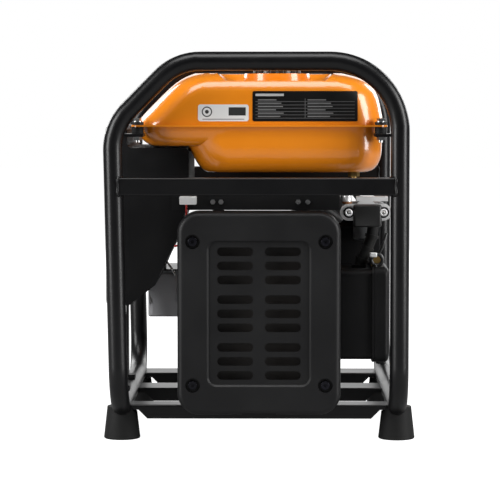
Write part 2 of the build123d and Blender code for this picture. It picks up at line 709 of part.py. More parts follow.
def along_cylinder(distance, across=0.0, y=ENGINE_Y):
    """Plane square to the cylinder, at a distance from the crank axis; its X points down the lean."""
    return Plane(
        origin=(
            CRANK_X + LEAN_X * distance + LEAN_Z * across,
            y,
            CRANK_Z + LEAN_Z * distance - LEAN_X * across,
        ),
        x_dir=(LEAN_Z, 0, -LEAN_X),
        z_dir=(LEAN_X, 0, LEAN_Z),
    )


with BuildPart() as engine_bed:
    bar(-78, 88, -190, 42, BED_Z, BED_Z + BED_T)
    fillet(engine_bed.edges().filter_by(Axis.Z), radius=8)
    with Locations(*[(x, y, BED_Z) for x in (-MOUNT_X, MOUNT_X) for _, y, _ in CROSSMEMBERS[:2]]):
        Cylinder(STUD_D / 2, 20, mode=Mode.SUBTRACT)
save(engine_bed, "engine_bed")

with BuildPart() as engine_mounts:
    for x in (-MOUNT_X, MOUNT_X):
        for _, y, _ in CROSSMEMBERS[:2]:
            with BuildSketch(level(x, y, CROSS_TOP)):
                Circle(15)
            with BuildSketch(level(x, y, (CROSS_TOP + BED_Z) / 2)):
                Circle(12)
            with BuildSketch(level(x, y, BED_Z)):
                Circle(15)
            loft()
            with Locations((x, y, (CROSS_TOP + BED_Z) / 2)):
                Cylinder(STUD_D / 2, BED_Z - CROSS_TOP, mode=Mode.SUBTRACT)
save(engine_mounts, "rubber_mounts")

with BuildPart() as mount_studs:
    for x in (-MOUNT_X, MOUNT_X):
        for _, y, _ in CROSSMEMBERS[:2]:
            with BuildSketch(level(x, y, CROSS_TOP - 12)):
                Circle(STUD_D / 2)
            extrude(amount=BED_Z + BED_T - CROSS_TOP + 12)
            with BuildSketch(level(x, y, CROSS_TOP - CROSS_WALL - 6)):
                RegularPolygon(7, 6)
            extrude(amount=6)
save(mount_studs, "zinc_fasteners")

CASE_W = 150.0
DECK_W = 88.0
BORE_FIT = BORE_D / 2 + RUN_FIT
with BuildPart() as crankcase:
    with BuildSketch(upright(0, CASE_NEAR_Y, 0)):
        with Locations((CRANK_X, CRANK_Z)):
            Circle(CASE_R)
        with Locations((CRANK_X, (BED_Z + BED_T + CRANK_Z - 20) / 2)):
            RectangleRounded(CASE_W, CRANK_Z - 20 - BED_Z - BED_T, 10)
    extrude(amount=CASE_NEAR_Y - CASE_FAR_Y)
    with BuildSketch(along_cylinder(40)):
        Rectangle(DECK_W, 104)
    extrude(amount=DECK - 40)
    fillet(crankcase.edges().filter_by(Plane.XZ).group_by(Axis.Y)[0], radius=6)
    with BuildSketch(upright(CRANK_X, ENGINE_Y, CRANK_Z)):
        Circle(CAVITY_R)
    extrude(amount=33, both=True, mode=Mode.SUBTRACT)
    with BuildSketch(along_cylinder(30)):
        Circle(BORE_D / 2 + 1.5)
    extrude(amount=DECK, mode=Mode.SUBTRACT)
    with BuildSketch(upright(CRANK_X, ENGINE_Y, CRANK_Z)):
        Circle(JOURNAL_D / 2 + 9)
    extrude(amount=-90, mode=Mode.SUBTRACT)
    with BuildSketch(upright(CRANK_X, ENGINE_Y, CRANK_Z)):
        Circle(JOURNAL_D / 2 + 9)
    extrude(amount=54, mode=Mode.SUBTRACT)
    with BuildSketch(facing_x(CRANK_X + CASE_W / 2, -40, 100)):
        Circle(9.2)
    extrude(amount=30, mode=Mode.SUBTRACT)
save(crankcase, "crankcase")

for y_low in (-58.0, 30.0):
    with BuildPart() as bearing:
        with BuildSketch(upright(CRANK_X, y_low, CRANK_Z)):
            Circle(JOURNAL_D / 2 + 9)
            Circle(JOURNAL_D / 2 + RUN_FIT, mode=Mode.SUBTRACT)
        extrude(amount=-15)
    save(bearing, "main_bearings")

with BuildPart() as cylinder_barrel:
    with BuildSketch(along_cylinder(DECK)):
        Rectangle(DECK_W, 104)
    extrude(amount=6)
    with BuildSketch(along_cylinder(DECK)):
        Circle(BORE_D / 2 + 6)
    extrude(amount=BARREL_L)
    for fin in range(7):
        with BuildSketch(along_cylinder(DECK + 12 + fin * 7.5)):
            RectangleRounded(DECK_W, 104, 12)
        extrude(amount=2.4)
    with BuildSketch(along_cylinder(DECK)):
        Circle(BORE_FIT)
    extrude(amount=BARREL_L, mode=Mode.SUBTRACT)
save(cylinder_barrel, "cylinder_barrel")

HEAD_FOOT = DECK + BARREL_L
with BuildPart() as cylinder_head:
    with BuildSketch(along_cylinder(HEAD_FOOT)):
        RectangleRounded(DECK_W - 4, 100, 10)
    extrude(amount=6)
    with BuildSketch(along_cylinder(HEAD_FOOT)):
        RectangleRounded(DECK_W - 22, 86, 8)
    extrude(amount=HEAD_L)
    for fin in range(2):
        with BuildSketch(along_cylinder(HEAD_FOOT + 9.5 + fin * 6)):
            RectangleRounded(DECK_W - 6, 100, 10)
        extrude(amount=2.4)
save(cylinder_head, "cylinder_head")

with BuildPart() as valve_cover:
    with BuildSketch(along_cylinder(HEAD_FOOT + HEAD_L)):
        RectangleRounded(DECK_W - 18, 90, 10)
    extrude(amount=2.5)
    with BuildSketch(along_cylinder(HEAD_FOOT + HEAD_L)):
        RectangleRounded(DECK_W - 28, 80, 12)
    extrude(amount=VALVE_COVER_L, taper=5)
    fillet(valve_cover.faces().sort_by(Axis((0, 0, 0), (LEAN_X, 0, LEAN_Z)))[-1].edges(), radius=4)
    with BuildSketch(along_cylinder(HEAD_FOOT + HEAD_L)):
        RectangleRounded(DECK_W - 32, 76, 10)
    extrude(amount=VALVE_COVER_L - 3, taper=5, mode=Mode.SUBTRACT)
save(valve_cover, "valve_cover")

PORT_Y = ENGINE_Y - 52.0     # near face of the head, where both ports open
with BuildPart() as exhaust_pipe:
    with BuildSketch(upright(PIPE_X, PORT_Y, PIPE_Z)):
        Circle(PIPE_R)
        Circle(PIPE_R - 2, mode=Mode.SUBTRACT)
    extrude(amount=PORT_Y - MUFFLER_BACK_Y)
    with BuildSketch(upright(PIPE_X, PORT_Y, PIPE_Z)):
        SlotOverall(44, 27, rotation=TILT)
        Circle(PIPE_R - 2, mode=Mode.SUBTRACT)
    extrude(amount=5)
save(exhaust_pipe, "muffler_body")

PLUG_PLANE = Plane(
    origin=along_cylinder(HEAD_FOOT + 4, -(DECK_W - 22) / 2, ENGINE_Y + 6).origin,
    x_dir=(0, 1, 0),
    z_dir=(-LEAN_Z, 0, LEAN_X),
)
with BuildPart() as spark_plug:
    with BuildSketch(PLUG_PLANE.offset(10)):
        RegularPolygon(10, 6)
    extrude(amount=9)
    with BuildSketch(PLUG_PLANE.offset(19)):
        Circle(5)
    extrude(amount=14)
save(spark_plug, "spark_plug")

with BuildPart() as plug_cap:
    with BuildSketch(PLUG_PLANE.offset(21)):
        Circle(9)
    extrude(amount=26)
    fillet(plug_cap.edges().group_by(Axis((0, 0, 0), (-LEAN_Z, 0, LEAN_X)))[-1], radius=4)
    with BuildSketch(PLUG_PLANE.offset(21)):
        Circle(5)
    extrude(amount=12, mode=Mode.SUBTRACT)
save(plug_cap, "spark_plug")

THROW = STROKE / 2
with BuildPart() as crankshaft:
    with BuildSketch(upright(CRANK_X, -58, CRANK_Z)):
        Circle(JOURNAL_D / 2)
    extrude(amount=-(ENGINE_Y + 58 - PIN_L / 2))
    with BuildSketch(upright(CRANK_X, ENGINE_Y + PIN_L / 2, CRANK_Z)):
        Circle(JOURNAL_D / 2)
    extrude(amount=-(RECOIL_FAR_Y - 48 - ENGINE_Y - PIN_L / 2))
    for web_y in (ENGINE_Y - PIN_L / 2 - WEB_T, ENGINE_Y + PIN_L / 2):
        with BuildSketch(upright(CRANK_X, web_y, CRANK_Z)):
            Circle(WEB_R)
            with Locations((WEB_R * 0.85, WEB_R), (-WEB_R * 0.85, WEB_R)):
                Rectangle(WEB_R, 1.6 * WEB_R, mode=Mode.SUBTRACT)
        extrude(amount=-WEB_T)
    with BuildSketch(upright(CRANK_X, ENGINE_Y - PIN_L / 2, CRANK_Z + THROW)):
        Circle(13)
    extrude(amount=-PIN_L)
save(crankshaft, "crankshaft")

PISTON_TOP = HEAD_FOOT - 1.5
with BuildPart() as piston:
    with BuildSketch(along_cylinder(PISTON_TOP)):
        Circle(BORE_D / 2)
    extrude(amount=-PISTON_L)
    with BuildSketch(along_cylinder(PISTON_TOP - 8)):
        Circle(BORE_D / 2 - 5)
    extrude(amount=-PISTON_L, mode=Mode.SUBTRACT)
    for groove in range(3):
        with BuildSketch(along_cylinder(PISTON_TOP - 4 - groove * 4)):
            Circle(BORE_D / 2 + 1)
            Circle(BORE_D / 2 - 2, mode=Mode.SUBTRACT)
        extrude(amount=-1.5, mode=Mode.SUBTRACT)
save(piston, "piston")

# ---------------------------------------------------------------- alternator and fan
PLATE_T = 5.0
STATOR_R = 79.5
MAGNET_T = 3.6
with BuildPart() as alternator_plate:
    with BuildSketch(upright(CRANK_X, CASE_FAR_Y, CRANK_Z)):
        Circle(SHROUD_R)
        Circle(JOURNAL_D / 2 + 12, mode=Mode.SUBTRACT)
        with PolarLocations(82, 5, start_angle=18):
            SlotOverall(46, 16, rotation=90, mode=Mode.SUBTRACT)
    extrude(amount=-PLATE_T)
save(alternator_plate, "alternator_plate")

with BuildPart() as stator:
    with BuildSketch(upright(CRANK_X, CASE_FAR_Y + PLATE_T, CRANK_Z)):
        Circle(52)
        Circle(JOURNAL_D / 2 + 12, mode=Mode.SUBTRACT)
        with PolarLocations(STATOR_R / 2 + 22, 18):
            Rectangle(STATOR_R - 48, 7)
    extrude(amount=-32)
    with BuildSketch(upright(CRANK_X, CASE_FAR_Y + PLATE_T + 6, CRANK_Z)):
        with PolarLocations(62, 18):
            RectangleRounded(16, 13, 3)
    extrude(amount=-20)
save(stator, "stator")

with BuildPart() as flywheel:
    with BuildSketch(upright(CRANK_X, ROTOR_NEAR_Y, CRANK_Z)):
        Circle(ROTOR_R)
    extrude(amount=ROTOR_NEAR_Y - ROTOR_FAR_Y)
    with BuildSketch(upright(CRANK_X, ROTOR_NEAR_Y, CRANK_Z)):
        Circle(ROTOR_R - 8)
    extrude(amount=ROTOR_NEAR_Y - ROTOR_FAR_Y + 8, mode=Mode.SUBTRACT)
    with BuildSketch(upright(CRANK_X, ROTOR_FAR_Y - 14, CRANK_Z)):
        Circle(JOURNAL_D / 2 + 8)
    extrude(amount=-14)
    with BuildSketch(upright(CRANK_X, ROTOR_NEAR_Y, CRANK_Z)):
        Circle(JOURNAL_D / 2)
    extrude(amount=-90, mode=Mode.SUBTRACT)
save(flywheel, "flywheel")

with BuildPart() as rotor_magnets:
    with BuildSketch(upright(CRANK_X, ROTOR_NEAR_Y + 2, CRANK_Z)):
        Circle(ROTOR_R - 8)
        Circle(ROTOR_R - 8 - MAGNET_T, mode=Mode.SUBTRACT)
        with PolarLocations(ROTOR_R, 12):
            Rectangle(60, 5, mode=Mode.SUBTRACT)
    extrude(amount=-30)
save(rotor_magnets, "flywheel")

with BuildPart() as cooling_fan:
    with BuildSketch(upright(CRANK_X, ROTOR_FAR_Y, CRANK_Z)):
        Circle(FAN_R)
        Circle(JOURNAL_D / 2, mode=Mode.SUBTRACT)
    extrude(amount=-3)
    with BuildSketch(upright(CRANK_X, ROTOR_FAR_Y, CRANK_Z)):
        with PolarLocations(FAN_R - 26, 14):
            Rectangle(44, 3, rotation=24)
    extrude(amount=-FAN_L)
    with BuildSketch(upright(CRANK_X, ROTOR_FAR_Y, CRANK_Z)):
        Circle(30)
        Circle(JOURNAL_D / 2, mode=Mode.SUBTRACT)
    extrude(amount=-8)
save(cooling_fan, "cooling_fan")

CUP_R = 30.0
CUP_Y = ROTOR_FAR_Y + 8
with BuildPart() as starter_cup:
    with BuildSketch(upright(CRANK_X, CUP_Y, CRANK_Z)):
        Circle(CUP_R)
        Circle(JOURNAL_D / 2, mode=Mode.SUBTRACT)
    extrude(amount=-26)
    with BuildSketch(upright(CRANK_X, CUP_Y + 3, CRANK_Z)):
        Circle(CUP_R - 2.5)
        Circle(JOURNAL_D / 2, mode=Mode.SUBTRACT)
    extrude(amount=-26, mode=Mode.SUBTRACT)
save(starter_cup, "flywheel")

EYE_OPEN_R = 52.0
SHROUD_NEAR_Y = CASE_FAR_Y + PLATE_T
with BuildPart() as fan_shroud:
    with BuildSketch(upright(CRANK_X, SHROUD_NEAR_Y, CRANK_Z)):
        Circle(SHROUD_R)
    extrude(amount=SHROUD_NEAR_Y - SHROUD_FAR_Y)
    fillet(fan_shroud.edges().group_by(Axis.Y)[-1], radius=10)
    with BuildSketch(upright(CRANK_X, SHROUD_NEAR_Y, CRANK_Z)):
        Circle(SHROUD_R - SHROUD_WALL)
    extrude(amount=SHROUD_NEAR_Y - SHROUD_FAR_Y + 9, mode=Mode.SUBTRACT)
    with BuildSketch(upright(CRANK_X, SHROUD_FAR_Y - 9, CRANK_Z)):
        Circle(SHROUD_R - 10)
    extrude(amount=-6.5, mode=Mode.SUBTRACT)
    with BuildSketch(upright(CRANK_X, SHROUD_FAR_Y, CRANK_Z)):
        Circle(EYE_OPEN_R)
    extrude(amount=12, both=True, mode=Mode.SUBTRACT)
save(fan_shroud, "fan_shroud")

HANDLE_X = CRANK_X - REEL_R
HANDLE_Z = CRANK_Z + 46.0
REEL_Y = SHROUD_FAR_Y + 12
REEL_L = 14.0
with BuildPart() as recoil_cover:
    with BuildSketch(upright(CRANK_X, SHROUD_FAR_Y, CRANK_Z)):
        Circle(RECOIL_R)
    extrude(amount=SHROUD_FAR_Y - RECOIL_FAR_Y)
    fillet(recoil_cover.edges().group_by(Axis.Y)[-1], radius=9)
    with BuildSketch(upright(CRANK_X, SHROUD_FAR_Y, CRANK_Z)):
        Circle(RECOIL_R - RECOIL_WALL)
    extrude(amount=SHROUD_FAR_Y - RECOIL_FAR_Y + 9, mode=Mode.SUBTRACT)
    with BuildSketch(upright(CRANK_X, RECOIL_FAR_Y - 9, CRANK_Z)):
        Circle(RECOIL_R - 9)
    extrude(amount=-6.5, mode=Mode.SUBTRACT)
    with BuildSketch(upright(CRANK_X, REEL_Y + 4, CRANK_Z)):
        Circle(8)
    extrude(amount=REEL_Y - RECOIL_FAR_Y + 4 + 1)
    with BuildSketch(upright(CRANK_X, RECOIL_FAR_Y - 4, CRANK_Z)):
        with PolarLocations(44, 10):
            SlotOverall(26, 5)
    extrude(amount=-6, mode=Mode.SUBTRACT)
    with BuildSketch(upright(HANDLE_X, RECOIL_FAR_Y - 12, HANDLE_Z)):
        Circle(9)
    extrude(amount=-14)
    with BuildSketch(upright(HANDLE_X, RECOIL_FAR_Y - 20, HANDLE_Z)):
        Circle(ROPE_D / 2 + 1)
    extrude(amount=-26, mode=Mode.SUBTRACT)
save(recoil_cover, "recoil_cover")

with BuildPart() as recoil_reel:
    with BuildSketch(upright(CRANK_X, REEL_Y, CRANK_Z)):
        Circle(REEL_R + 4)
        Circle(8 + RUN_FIT, mode=Mode.SUBTRACT)
    extrude(amount=-REEL_L)
    with BuildSketch(upright(CRANK_X, REEL_Y + 3.5, CRANK_Z)):
        Circle(REEL_R + 5)
        Circle(REEL_R - 8, mode=Mode.SUBTRACT)
    extrude(amount=-REEL_L + 7, mode=Mode.SUBTRACT)
save(recoil_reel, "recoil_reel")

HANDLE_Y = RECOIL_FAR_Y + 2 + HANDLE_D / 2 + GAP
with BuildPart() as starter_handle:
    with BuildSketch(facing_x(HANDLE_X + HANDLE_L / 2, HANDLE_Y, HANDLE_Z)):
        Ellipse(HANDLE_D / 2 - 1, HANDLE_D / 2 - 3)
    with BuildSketch(facing_x(HANDLE_X, HANDLE_Y, HANDLE_Z)):
        Circle(HANDLE_D / 2)
    with BuildSketch(facing_x(HANDLE_X - HANDLE_L / 2, HANDLE_Y, HANDLE_Z)):
        Ellipse(HANDLE_D / 2 - 1, HANDLE_D / 2 - 3)
    loft()
    fillet(starter_handle.edges().group_by(Axis.X)[0], radius=3)
    fillet(starter_handle.edges().group_by(Axis.X)[-1], radius=3)
    with BuildSketch(upright(HANDLE_X, HANDLE_Y, HANDLE_Z)):
        Circle(ROPE_D / 2)
    extrude(amount=HANDLE_D / 2 + 4, mode=Mode.SUBTRACT)
save(starter_handle, "starter_handle")

with BuildPart() as starter_rope:
    with BuildSketch(upright(HANDLE_X, HANDLE_Y, HANDLE_Z)):
        Circle(ROPE_D / 2)
    extrude(amount=HANDLE_Y - RECOIL_FAR_Y + 14)
save(starter_rope, "starter_rope")

# ---------------------------------------------------------------- intake
CLEANER_Y = (CLEANER_NEAR_Y + CLEANER_FAR_Y) / 2
CLEANER_Z = (CLEANER_BOTTOM + CLEANER_TOP) / 2
CLEANER_L = CLEANER_FAR_Y - CLEANER_NEAR_Y
CLEANER_H = CLEANER_TOP - CLEANER_BOTTOM
CLEANER_CORNER = 10.0
SPIGOT_X = 137.0
SPIGOT_Y = -150.0


def cleaner_plane(x):
    """Plane across X through the middle of the air cleaner, facing outwards."""
    return Plane(origin=(x, CLEANER_Y, CLEANER_Z), x_dir=(0, 1, 0), z_dir=(1, 0, 0))


with BuildPart() as cleaner_case:
    with BuildSketch(cleaner_plane(CLEANER_X)):
        RectangleRounded(CLEANER_L, CLEANER_H, CLEANER_CORNER)
    extrude(amount=CLEANER_FLANGE_X - CLEANER_X)
    with BuildSketch(cleaner_plane(CLEANER_FLANGE_X)):
        RectangleRounded(CLEANER_L + 8, CLEANER_H + 7, CLEANER_CORNER + 3)
    extrude(amount=3)
    fillet(cleaner_case.edges().group_by(Axis.X)[0], radius=5)
    with BuildSketch(level(SPIGOT_X, SPIGOT_Y, CLEANER_TOP - 3)):
        Circle(HOSE_RING_D / 2 + 1)
    extrude(amount=7)
    with BuildSketch(cleaner_plane(CLEANER_X + 6)):
        RectangleRounded(
            CLEANER_L - 2 * CLEANER_WALL, CLEANER_H - 2 * CLEANER_WALL, CLEANER_CORNER - CLEANER_WALL
        )
    extrude(amount=CLEANER_FLANGE_X - CLEANER_X, mode=Mode.SUBTRACT)
    with BuildSketch(level(SPIGOT_X, SPIGOT_Y, CLEANER_TOP - 6)):
        Circle(HOSE_D / 2 - 2)
    extrude(amount=20, mode=Mode.SUBTRACT)
save(cleaner_case, "air_cleaner_case")

with BuildPart() as cleaner_foam:
    with BuildSketch(cleaner_plane(CLEANER_X + 18)):
        RectangleRounded(CLEANER_L - 12, CLEANER_H - 12, CLEANER_CORNER)
    extrude(amount=30)
save(cleaner_foam, "air_cleaner_foam")

LID_FOOT_X = CLEANER_FLANGE_X + 3 + GAP
with BuildPart() as cleaner_lid:
    with BuildSketch(cleaner_plane(LID_FOOT_X)):
        RectangleRounded(CLEANER_L + 8, CLEANER_H + 7, CLEANER_CORNER + 3)
    extrude(amount=CLEANER_LID_T)
    fillet(cleaner_lid.edges().group_by(Axis.X)[-1], radius=6)
    with BuildSketch(cleaner_plane(LID_FOOT_X)):
        RectangleRounded(CLEANER_L, CLEANER_H, CLEANER_CORNER)
    extrude(amount=CLEANER_LID_T - 2.5 * CLEANER_WALL, mode=Mode.SUBTRACT)
    clip_z = CLEANER_BOTTOM - 3.5
    bar(LID_FOOT_X + 4, LID_FOOT_X + 12, CLEANER_Y - 14, CLEANER_Y + 14, clip_z - 6, clip_z + 1)
save(cleaner_lid, "air_cleaner_lid")

ELBOW_FAR_X = ELBOW_NEAR_X + ELBOW_SPACING
ELBOW_X = ELBOW_NEAR_X + ELBOW_SPACING / 2
ELBOW_T = 5.0
CARB_NEAR_Y = -140.0
CARB_FAR_Y = -100.0
EAR_BOLTS = [(ELBOW_NEAR_X, ELBOW_Z), (ELBOW_FAR_X, ELBOW_Z)]
with BuildPart() as intake_elbow:
    with BuildSketch(upright(ELBOW_X, ELBOW_Y, ELBOW_Z)):
        SlotOverall(ELBOW_SPACING + 23, 23)
        Circle(17)
    extrude(amount=-ELBOW_T)
    with BuildSketch(upright(ELBOW_X, ELBOW_Y + ELBOW_T, ELBOW_Z)):
        Circle(16)
    extrude(amount=ELBOW_Y + ELBOW_T - CARB_NEAR_Y)
    bar(ELBOW_X - 13, ELBOW_X + 30, ELBOW_Y, CARB_NEAR_Y, ELBOW_Z + 15, ELBOW_Z + 21)
    with BuildSketch(upright(ELBOW_X, CARB_NEAR_Y, ELBOW_Z)):
        Circle(11)
    extrude(amount=16, mode=Mode.SUBTRACT)
    with BuildSketch(upright(0, ELBOW_Y, 0)):
        with Locations(*EAR_BOLTS):
            Circle(3.2)
    extrude(amount=-ELBOW_T, mode=Mode.SUBTRACT)
save(intake_elbow, "intake_elbow")

with BuildPart() as elbow_bolts:
    with BuildSketch(upright(0, ELBOW_Y, 0)):
        with Locations(*EAR_BOLTS):
            Circle(7)
    extrude(amount=1)
    with BuildSketch(upright(0, ELBOW_Y - 1, 0)):
        with Locations(*EAR_BOLTS):
            RegularPolygon(5.5, 6)
    extrude(amount=4)
    with BuildSketch(upright(0, ELBOW_Y, 0)):
        with Locations(*EAR_BOLTS):
            Circle(3)
    extrude(amount=ELBOW_Y - CARB_FAR_Y + 14)
save(elbow_bolts, "zinc_fasteners")

with BuildPart() as carburettor:
    with BuildSketch(upright(ELBOW_X, CARB_NEAR_Y, ELBOW_Z)):
        SlotOverall(ELBOW_SPACING + 16, 24)
        Circle(17)
        with Locations((-ELBOW_SPACING / 2, 0), (ELBOW_SPACING / 2, 0)):
            Circle(3.2, mode=Mode.SUBTRACT)
    extrude(amount=CARB_NEAR_Y - CARB_FAR_Y)
    with BuildSketch(level(ELBOW_X, (CARB_NEAR_Y + CARB_FAR_Y) / 2, ELBOW_Z - 40)):
        Circle(16)
    extrude(amount=30)
    fillet(carburettor.edges().group_by(Axis.Z)[0], radius=3)
    with BuildSketch(upright(ELBOW_X, CARB_NEAR_Y, ELBOW_Z)):
        Circle(9)
    extrude(amount=CARB_NEAR_Y - CARB_FAR_Y, mode=Mode.SUBTRACT)
save(carburettor, "carburettor")

MANIFOLD_X = 104.0
MANIFOLD_Z = 252.0
with BuildPart() as intake_manifold:
    with BuildSketch(upright(ELBOW_X, CARB_FAR_Y, ELBOW_Z)):
        Circle(15)
    with BuildSketch(upright(MANIFOLD_X, PORT_Y, MANIFOLD_Z)):
        Circle(13)
    loft()
    with BuildSketch(upright(ELBOW_X, CARB_FAR_Y, ELBOW_Z)):
        Circle(10)
    with BuildSketch(upright(MANIFOLD_X, PORT_Y, MANIFOLD_Z)):
        Circle(9)
    loft(mode=Mode.SUBTRACT)
save(intake_manifold, "intake_manifold")

HOSE_TOP_X = ELBOW_X + 12.0
hose_points = (
    (HOSE_TOP_X, SPIGOT_Y, ELBOW_Z - 4),
    (HOSE_TOP_X - 3.0, SPIGOT_Y, 274),
    (SPIGOT_X, SPIGOT_Y, CLEANER_TOP + 1),
)
with BuildLine() as hose_route:
    FilletPolyline(*hose_points, radius=45)
HOSE_START = Plane(origin=hose_route.line @ 0, z_dir=hose_route.line % 0)
RING_COUNT = 4
with BuildPart() as intake_hose:
    with BuildSketch(HOSE_START):
        Circle(HOSE_D / 2)
    sweep(path=hose_route.line)
    for ring_index in range(RING_COUNT):
        share = (ring_index + 0.7) / (RING_COUNT + 0.3)
        ring_plane = Plane(origin=hose_route.line @ share, z_dir=hose_route.line % share)
        with BuildSketch(ring_plane) as ring_face:
            Circle(HOSE_RING_D / 2)
        extrude(ring_face.sketch, amount=2, both=True)
    with BuildSketch(HOSE_START) as hose_bore:
        Circle(HOSE_D / 2 - 2.2)
    sweep(hose_bore.sketch, path=hose_route.line, mode=Mode.SUBTRACT)
    add(intake_elbow.part, mode=Mode.SUBTRACT)
    add(cleaner_case.part, mode=Mode.SUBTRACT)
    for scrap in intake_hose.solids().sort_by(SortBy.VOLUME)[:-1]:
        add(scrap, mode=Mode.SUBTRACT)
save(intake_hose, "intake_hose")

with BuildPart() as throttle_motor:
    with BuildSketch(level(ELBOW_NEAR_X - 2, -122, ELBOW_Z + 12)):
        Circle(7)
    extrude(amount=17)
    with BuildSketch(level(ELBOW_NEAR_X - 2, -122, ELBOW_Z + 16)):
        Circle(7.5)
    extrude(amount=4)
save(throttle_motor, "carburettor")

with BuildPart() as breather_union:
    with BuildSketch(upright(160, -172, CLEANER_TOP + 12)):
        Circle(8)
    extrude(amount=-14)
    with BuildSketch(upright(160, -168, CLEANER_TOP + 12)):
        RegularPolygon(9.5, 6)
    extrude(amount=-4)
    bar(152.5, 155.5, -172, -160, CLEANER_TOP + 3.5, CLEANER_TOP + 8)
save(breather_union, "brass_fittings")

TAP_X = 128.0
TAP_Y = -178.0
with BuildPart() as fuel_tap:
    with BuildSketch(level(TAP_X, TAP_Y, TANK_FLOOR - 6)):
        RegularPolygon(8, 6)
    extrude(amount=6)
    with BuildSketch(level(TAP_X, TAP_Y, TANK_FLOOR - 18)):
        Circle(4)
    extrude(amount=12)
save(fuel_tap, "brass_fittings")

with BuildLine() as fuel_route:
    FilletPolyline(
        (TAP_X, TAP_Y, TANK_FLOOR - 18),
        (TAP_X, TAP_Y, TANK_FLOOR - 27),
        (TAP_X, -127, TANK_FLOOR - 27),
        (TAP_X + 8, -127, ELBOW_Z + 17.5),
        radius=8,
    )
with BuildPart() as fuel_hose:
    with BuildSketch(Plane(origin=fuel_route.line @ 0, z_dir=fuel_route.line % 0)):
        Circle(4)
    sweep(path=fuel_route.line)
save(fuel_hose, "fuel_hose")

OIL_Y = -40.0
OIL_Z = 100.0
CASE_SIDE_X = CRANK_X + CASE_W / 2
with BuildPart() as oil_plug:
    with BuildSketch(cleaner_plane(CASE_SIDE_X + GAP).shift_origin((CASE_SIDE_X + GAP, OIL_Y, OIL_Z))):
        Circle(13)
    extrude(amount=9)
    with BuildSketch(cleaner_plane(CASE_SIDE_X + 9).shift_origin((CASE_SIDE_X + 9, OIL_Y, OIL_Z))):
        Rectangle(22, 6)
    extrude(amount=8)
    with BuildSketch(cleaner_plane(CASE_SIDE_X - 24).shift_origin((CASE_SIDE_X - 24, OIL_Y, OIL_Z))):
        Circle(8.6)
    extrude(amount=24 + GAP)
save(oil_plug, "oil_filler_plug")

with BuildPart() as drain_plug:
    with BuildSketch(cleaner_plane(CASE_SIDE_X).shift_origin((CASE_SIDE_X, 20, OIL_Z - 20))):
        RegularPolygon(8, 6)
    extrude(amount=8)
save(drain_plug, "zinc_fasteners")

# ---------------------------------------------------------------- control box
# back outline of the box, from its crest round to the foot: (X, Z)
BOX_OUTLINE = (
    (PANEL_X + FASCIA_T, BOX_BOTTOM),
    (PANEL_X + FASCIA_T, BOX_CREST),
    (-179.0, BOX_CREST),
    (-179.0, BOX_TOP),
    (-95.5, BOX_TOP),
    (-95.5, 325.0),
    (-110.0, 275.0),
    (-129.0, 237.0),
    (-141.0, 209.0),
    (-177.0, BOX_BOTTOM),
)
BOX_ROUNDING = 8.0
BOX_L = BOX_FAR_Y - BOX_NEAR_Y
BOX_MIDDLE_Y = (BOX_NEAR_Y + BOX_FAR_Y) / 2
FASCIA_Z = (BOX_BOTTOM + BOX_CREST) / 2
FASCIA_H = BOX_CREST - BOX_BOTTOM

with BuildSketch(Plane.XZ) as box_profile:
    with BuildLine():
        Polyline(*BOX_OUTLINE, close=True)
    make_face()
    fillet(box_profile.vertices().sort_by(Axis.X)[2:], radius=BOX_ROUNDING * 0.8)
with BuildSketch(Plane.XZ) as box_hollow:
    offset(box_profile.sketch, amount=-BOX_WALL)

with BuildPart() as control_box:
    with BuildSketch(Plane.XZ.offset(-BOX_NEAR_Y)):
        add(box_profile.sketch)
    extrude(amount=-BOX_L)
    with BuildSketch(Plane.XZ.offset(-BOX_NEAR_Y - BOX_WALL)):
        add(box_hollow.sketch)
    extrude(amount=-BOX_L + 2 * BOX_WALL, mode=Mode.SUBTRACT)
    bar(
        PANEL_X, PANEL_X + FASCIA_T + BOX_WALL + 1, BOX_NEAR_Y + 12, BOX_FAR_Y - 12,
        BOX_BOTTOM + 12, BOX_CREST - 12, Mode.SUBTRACT,
    )
save(control_box, "control_box")

# controls on the fascia: (Y, Z)
KNOB_SPOT = (-138.0, 372.0)
ROCKER_SPOT = (-138.0, 300.0)
BUTTON_SPOT = (-138.0, 245.0)
SOCKET_SPOTS = {"near_socket": (-78.0, 250.0), "far_socket": (2.0, 250.0)}
DC_SPOT = (-20.0, 350.0)
LAMP_SPOTS = ((-110.0, 372.0), (-94.0, 372.0), (-78.0, 372.0))
EARTH_SPOT = (36.0, 205.0)
KNOB_SHAFT_R = 4.0
ROCKER_R = 11.0
ROCKER_W = 15.0
BUTTON_R = 5.0
LAMP_R = 3.5
EARTH_R = 3.0
FASCIA_RIM = 10.0


def on_panel(spot, x=PANEL_X):
    """Plane on the panel's face at a control, facing the user."""
    return facing_x(x, spot[0], spot[1])


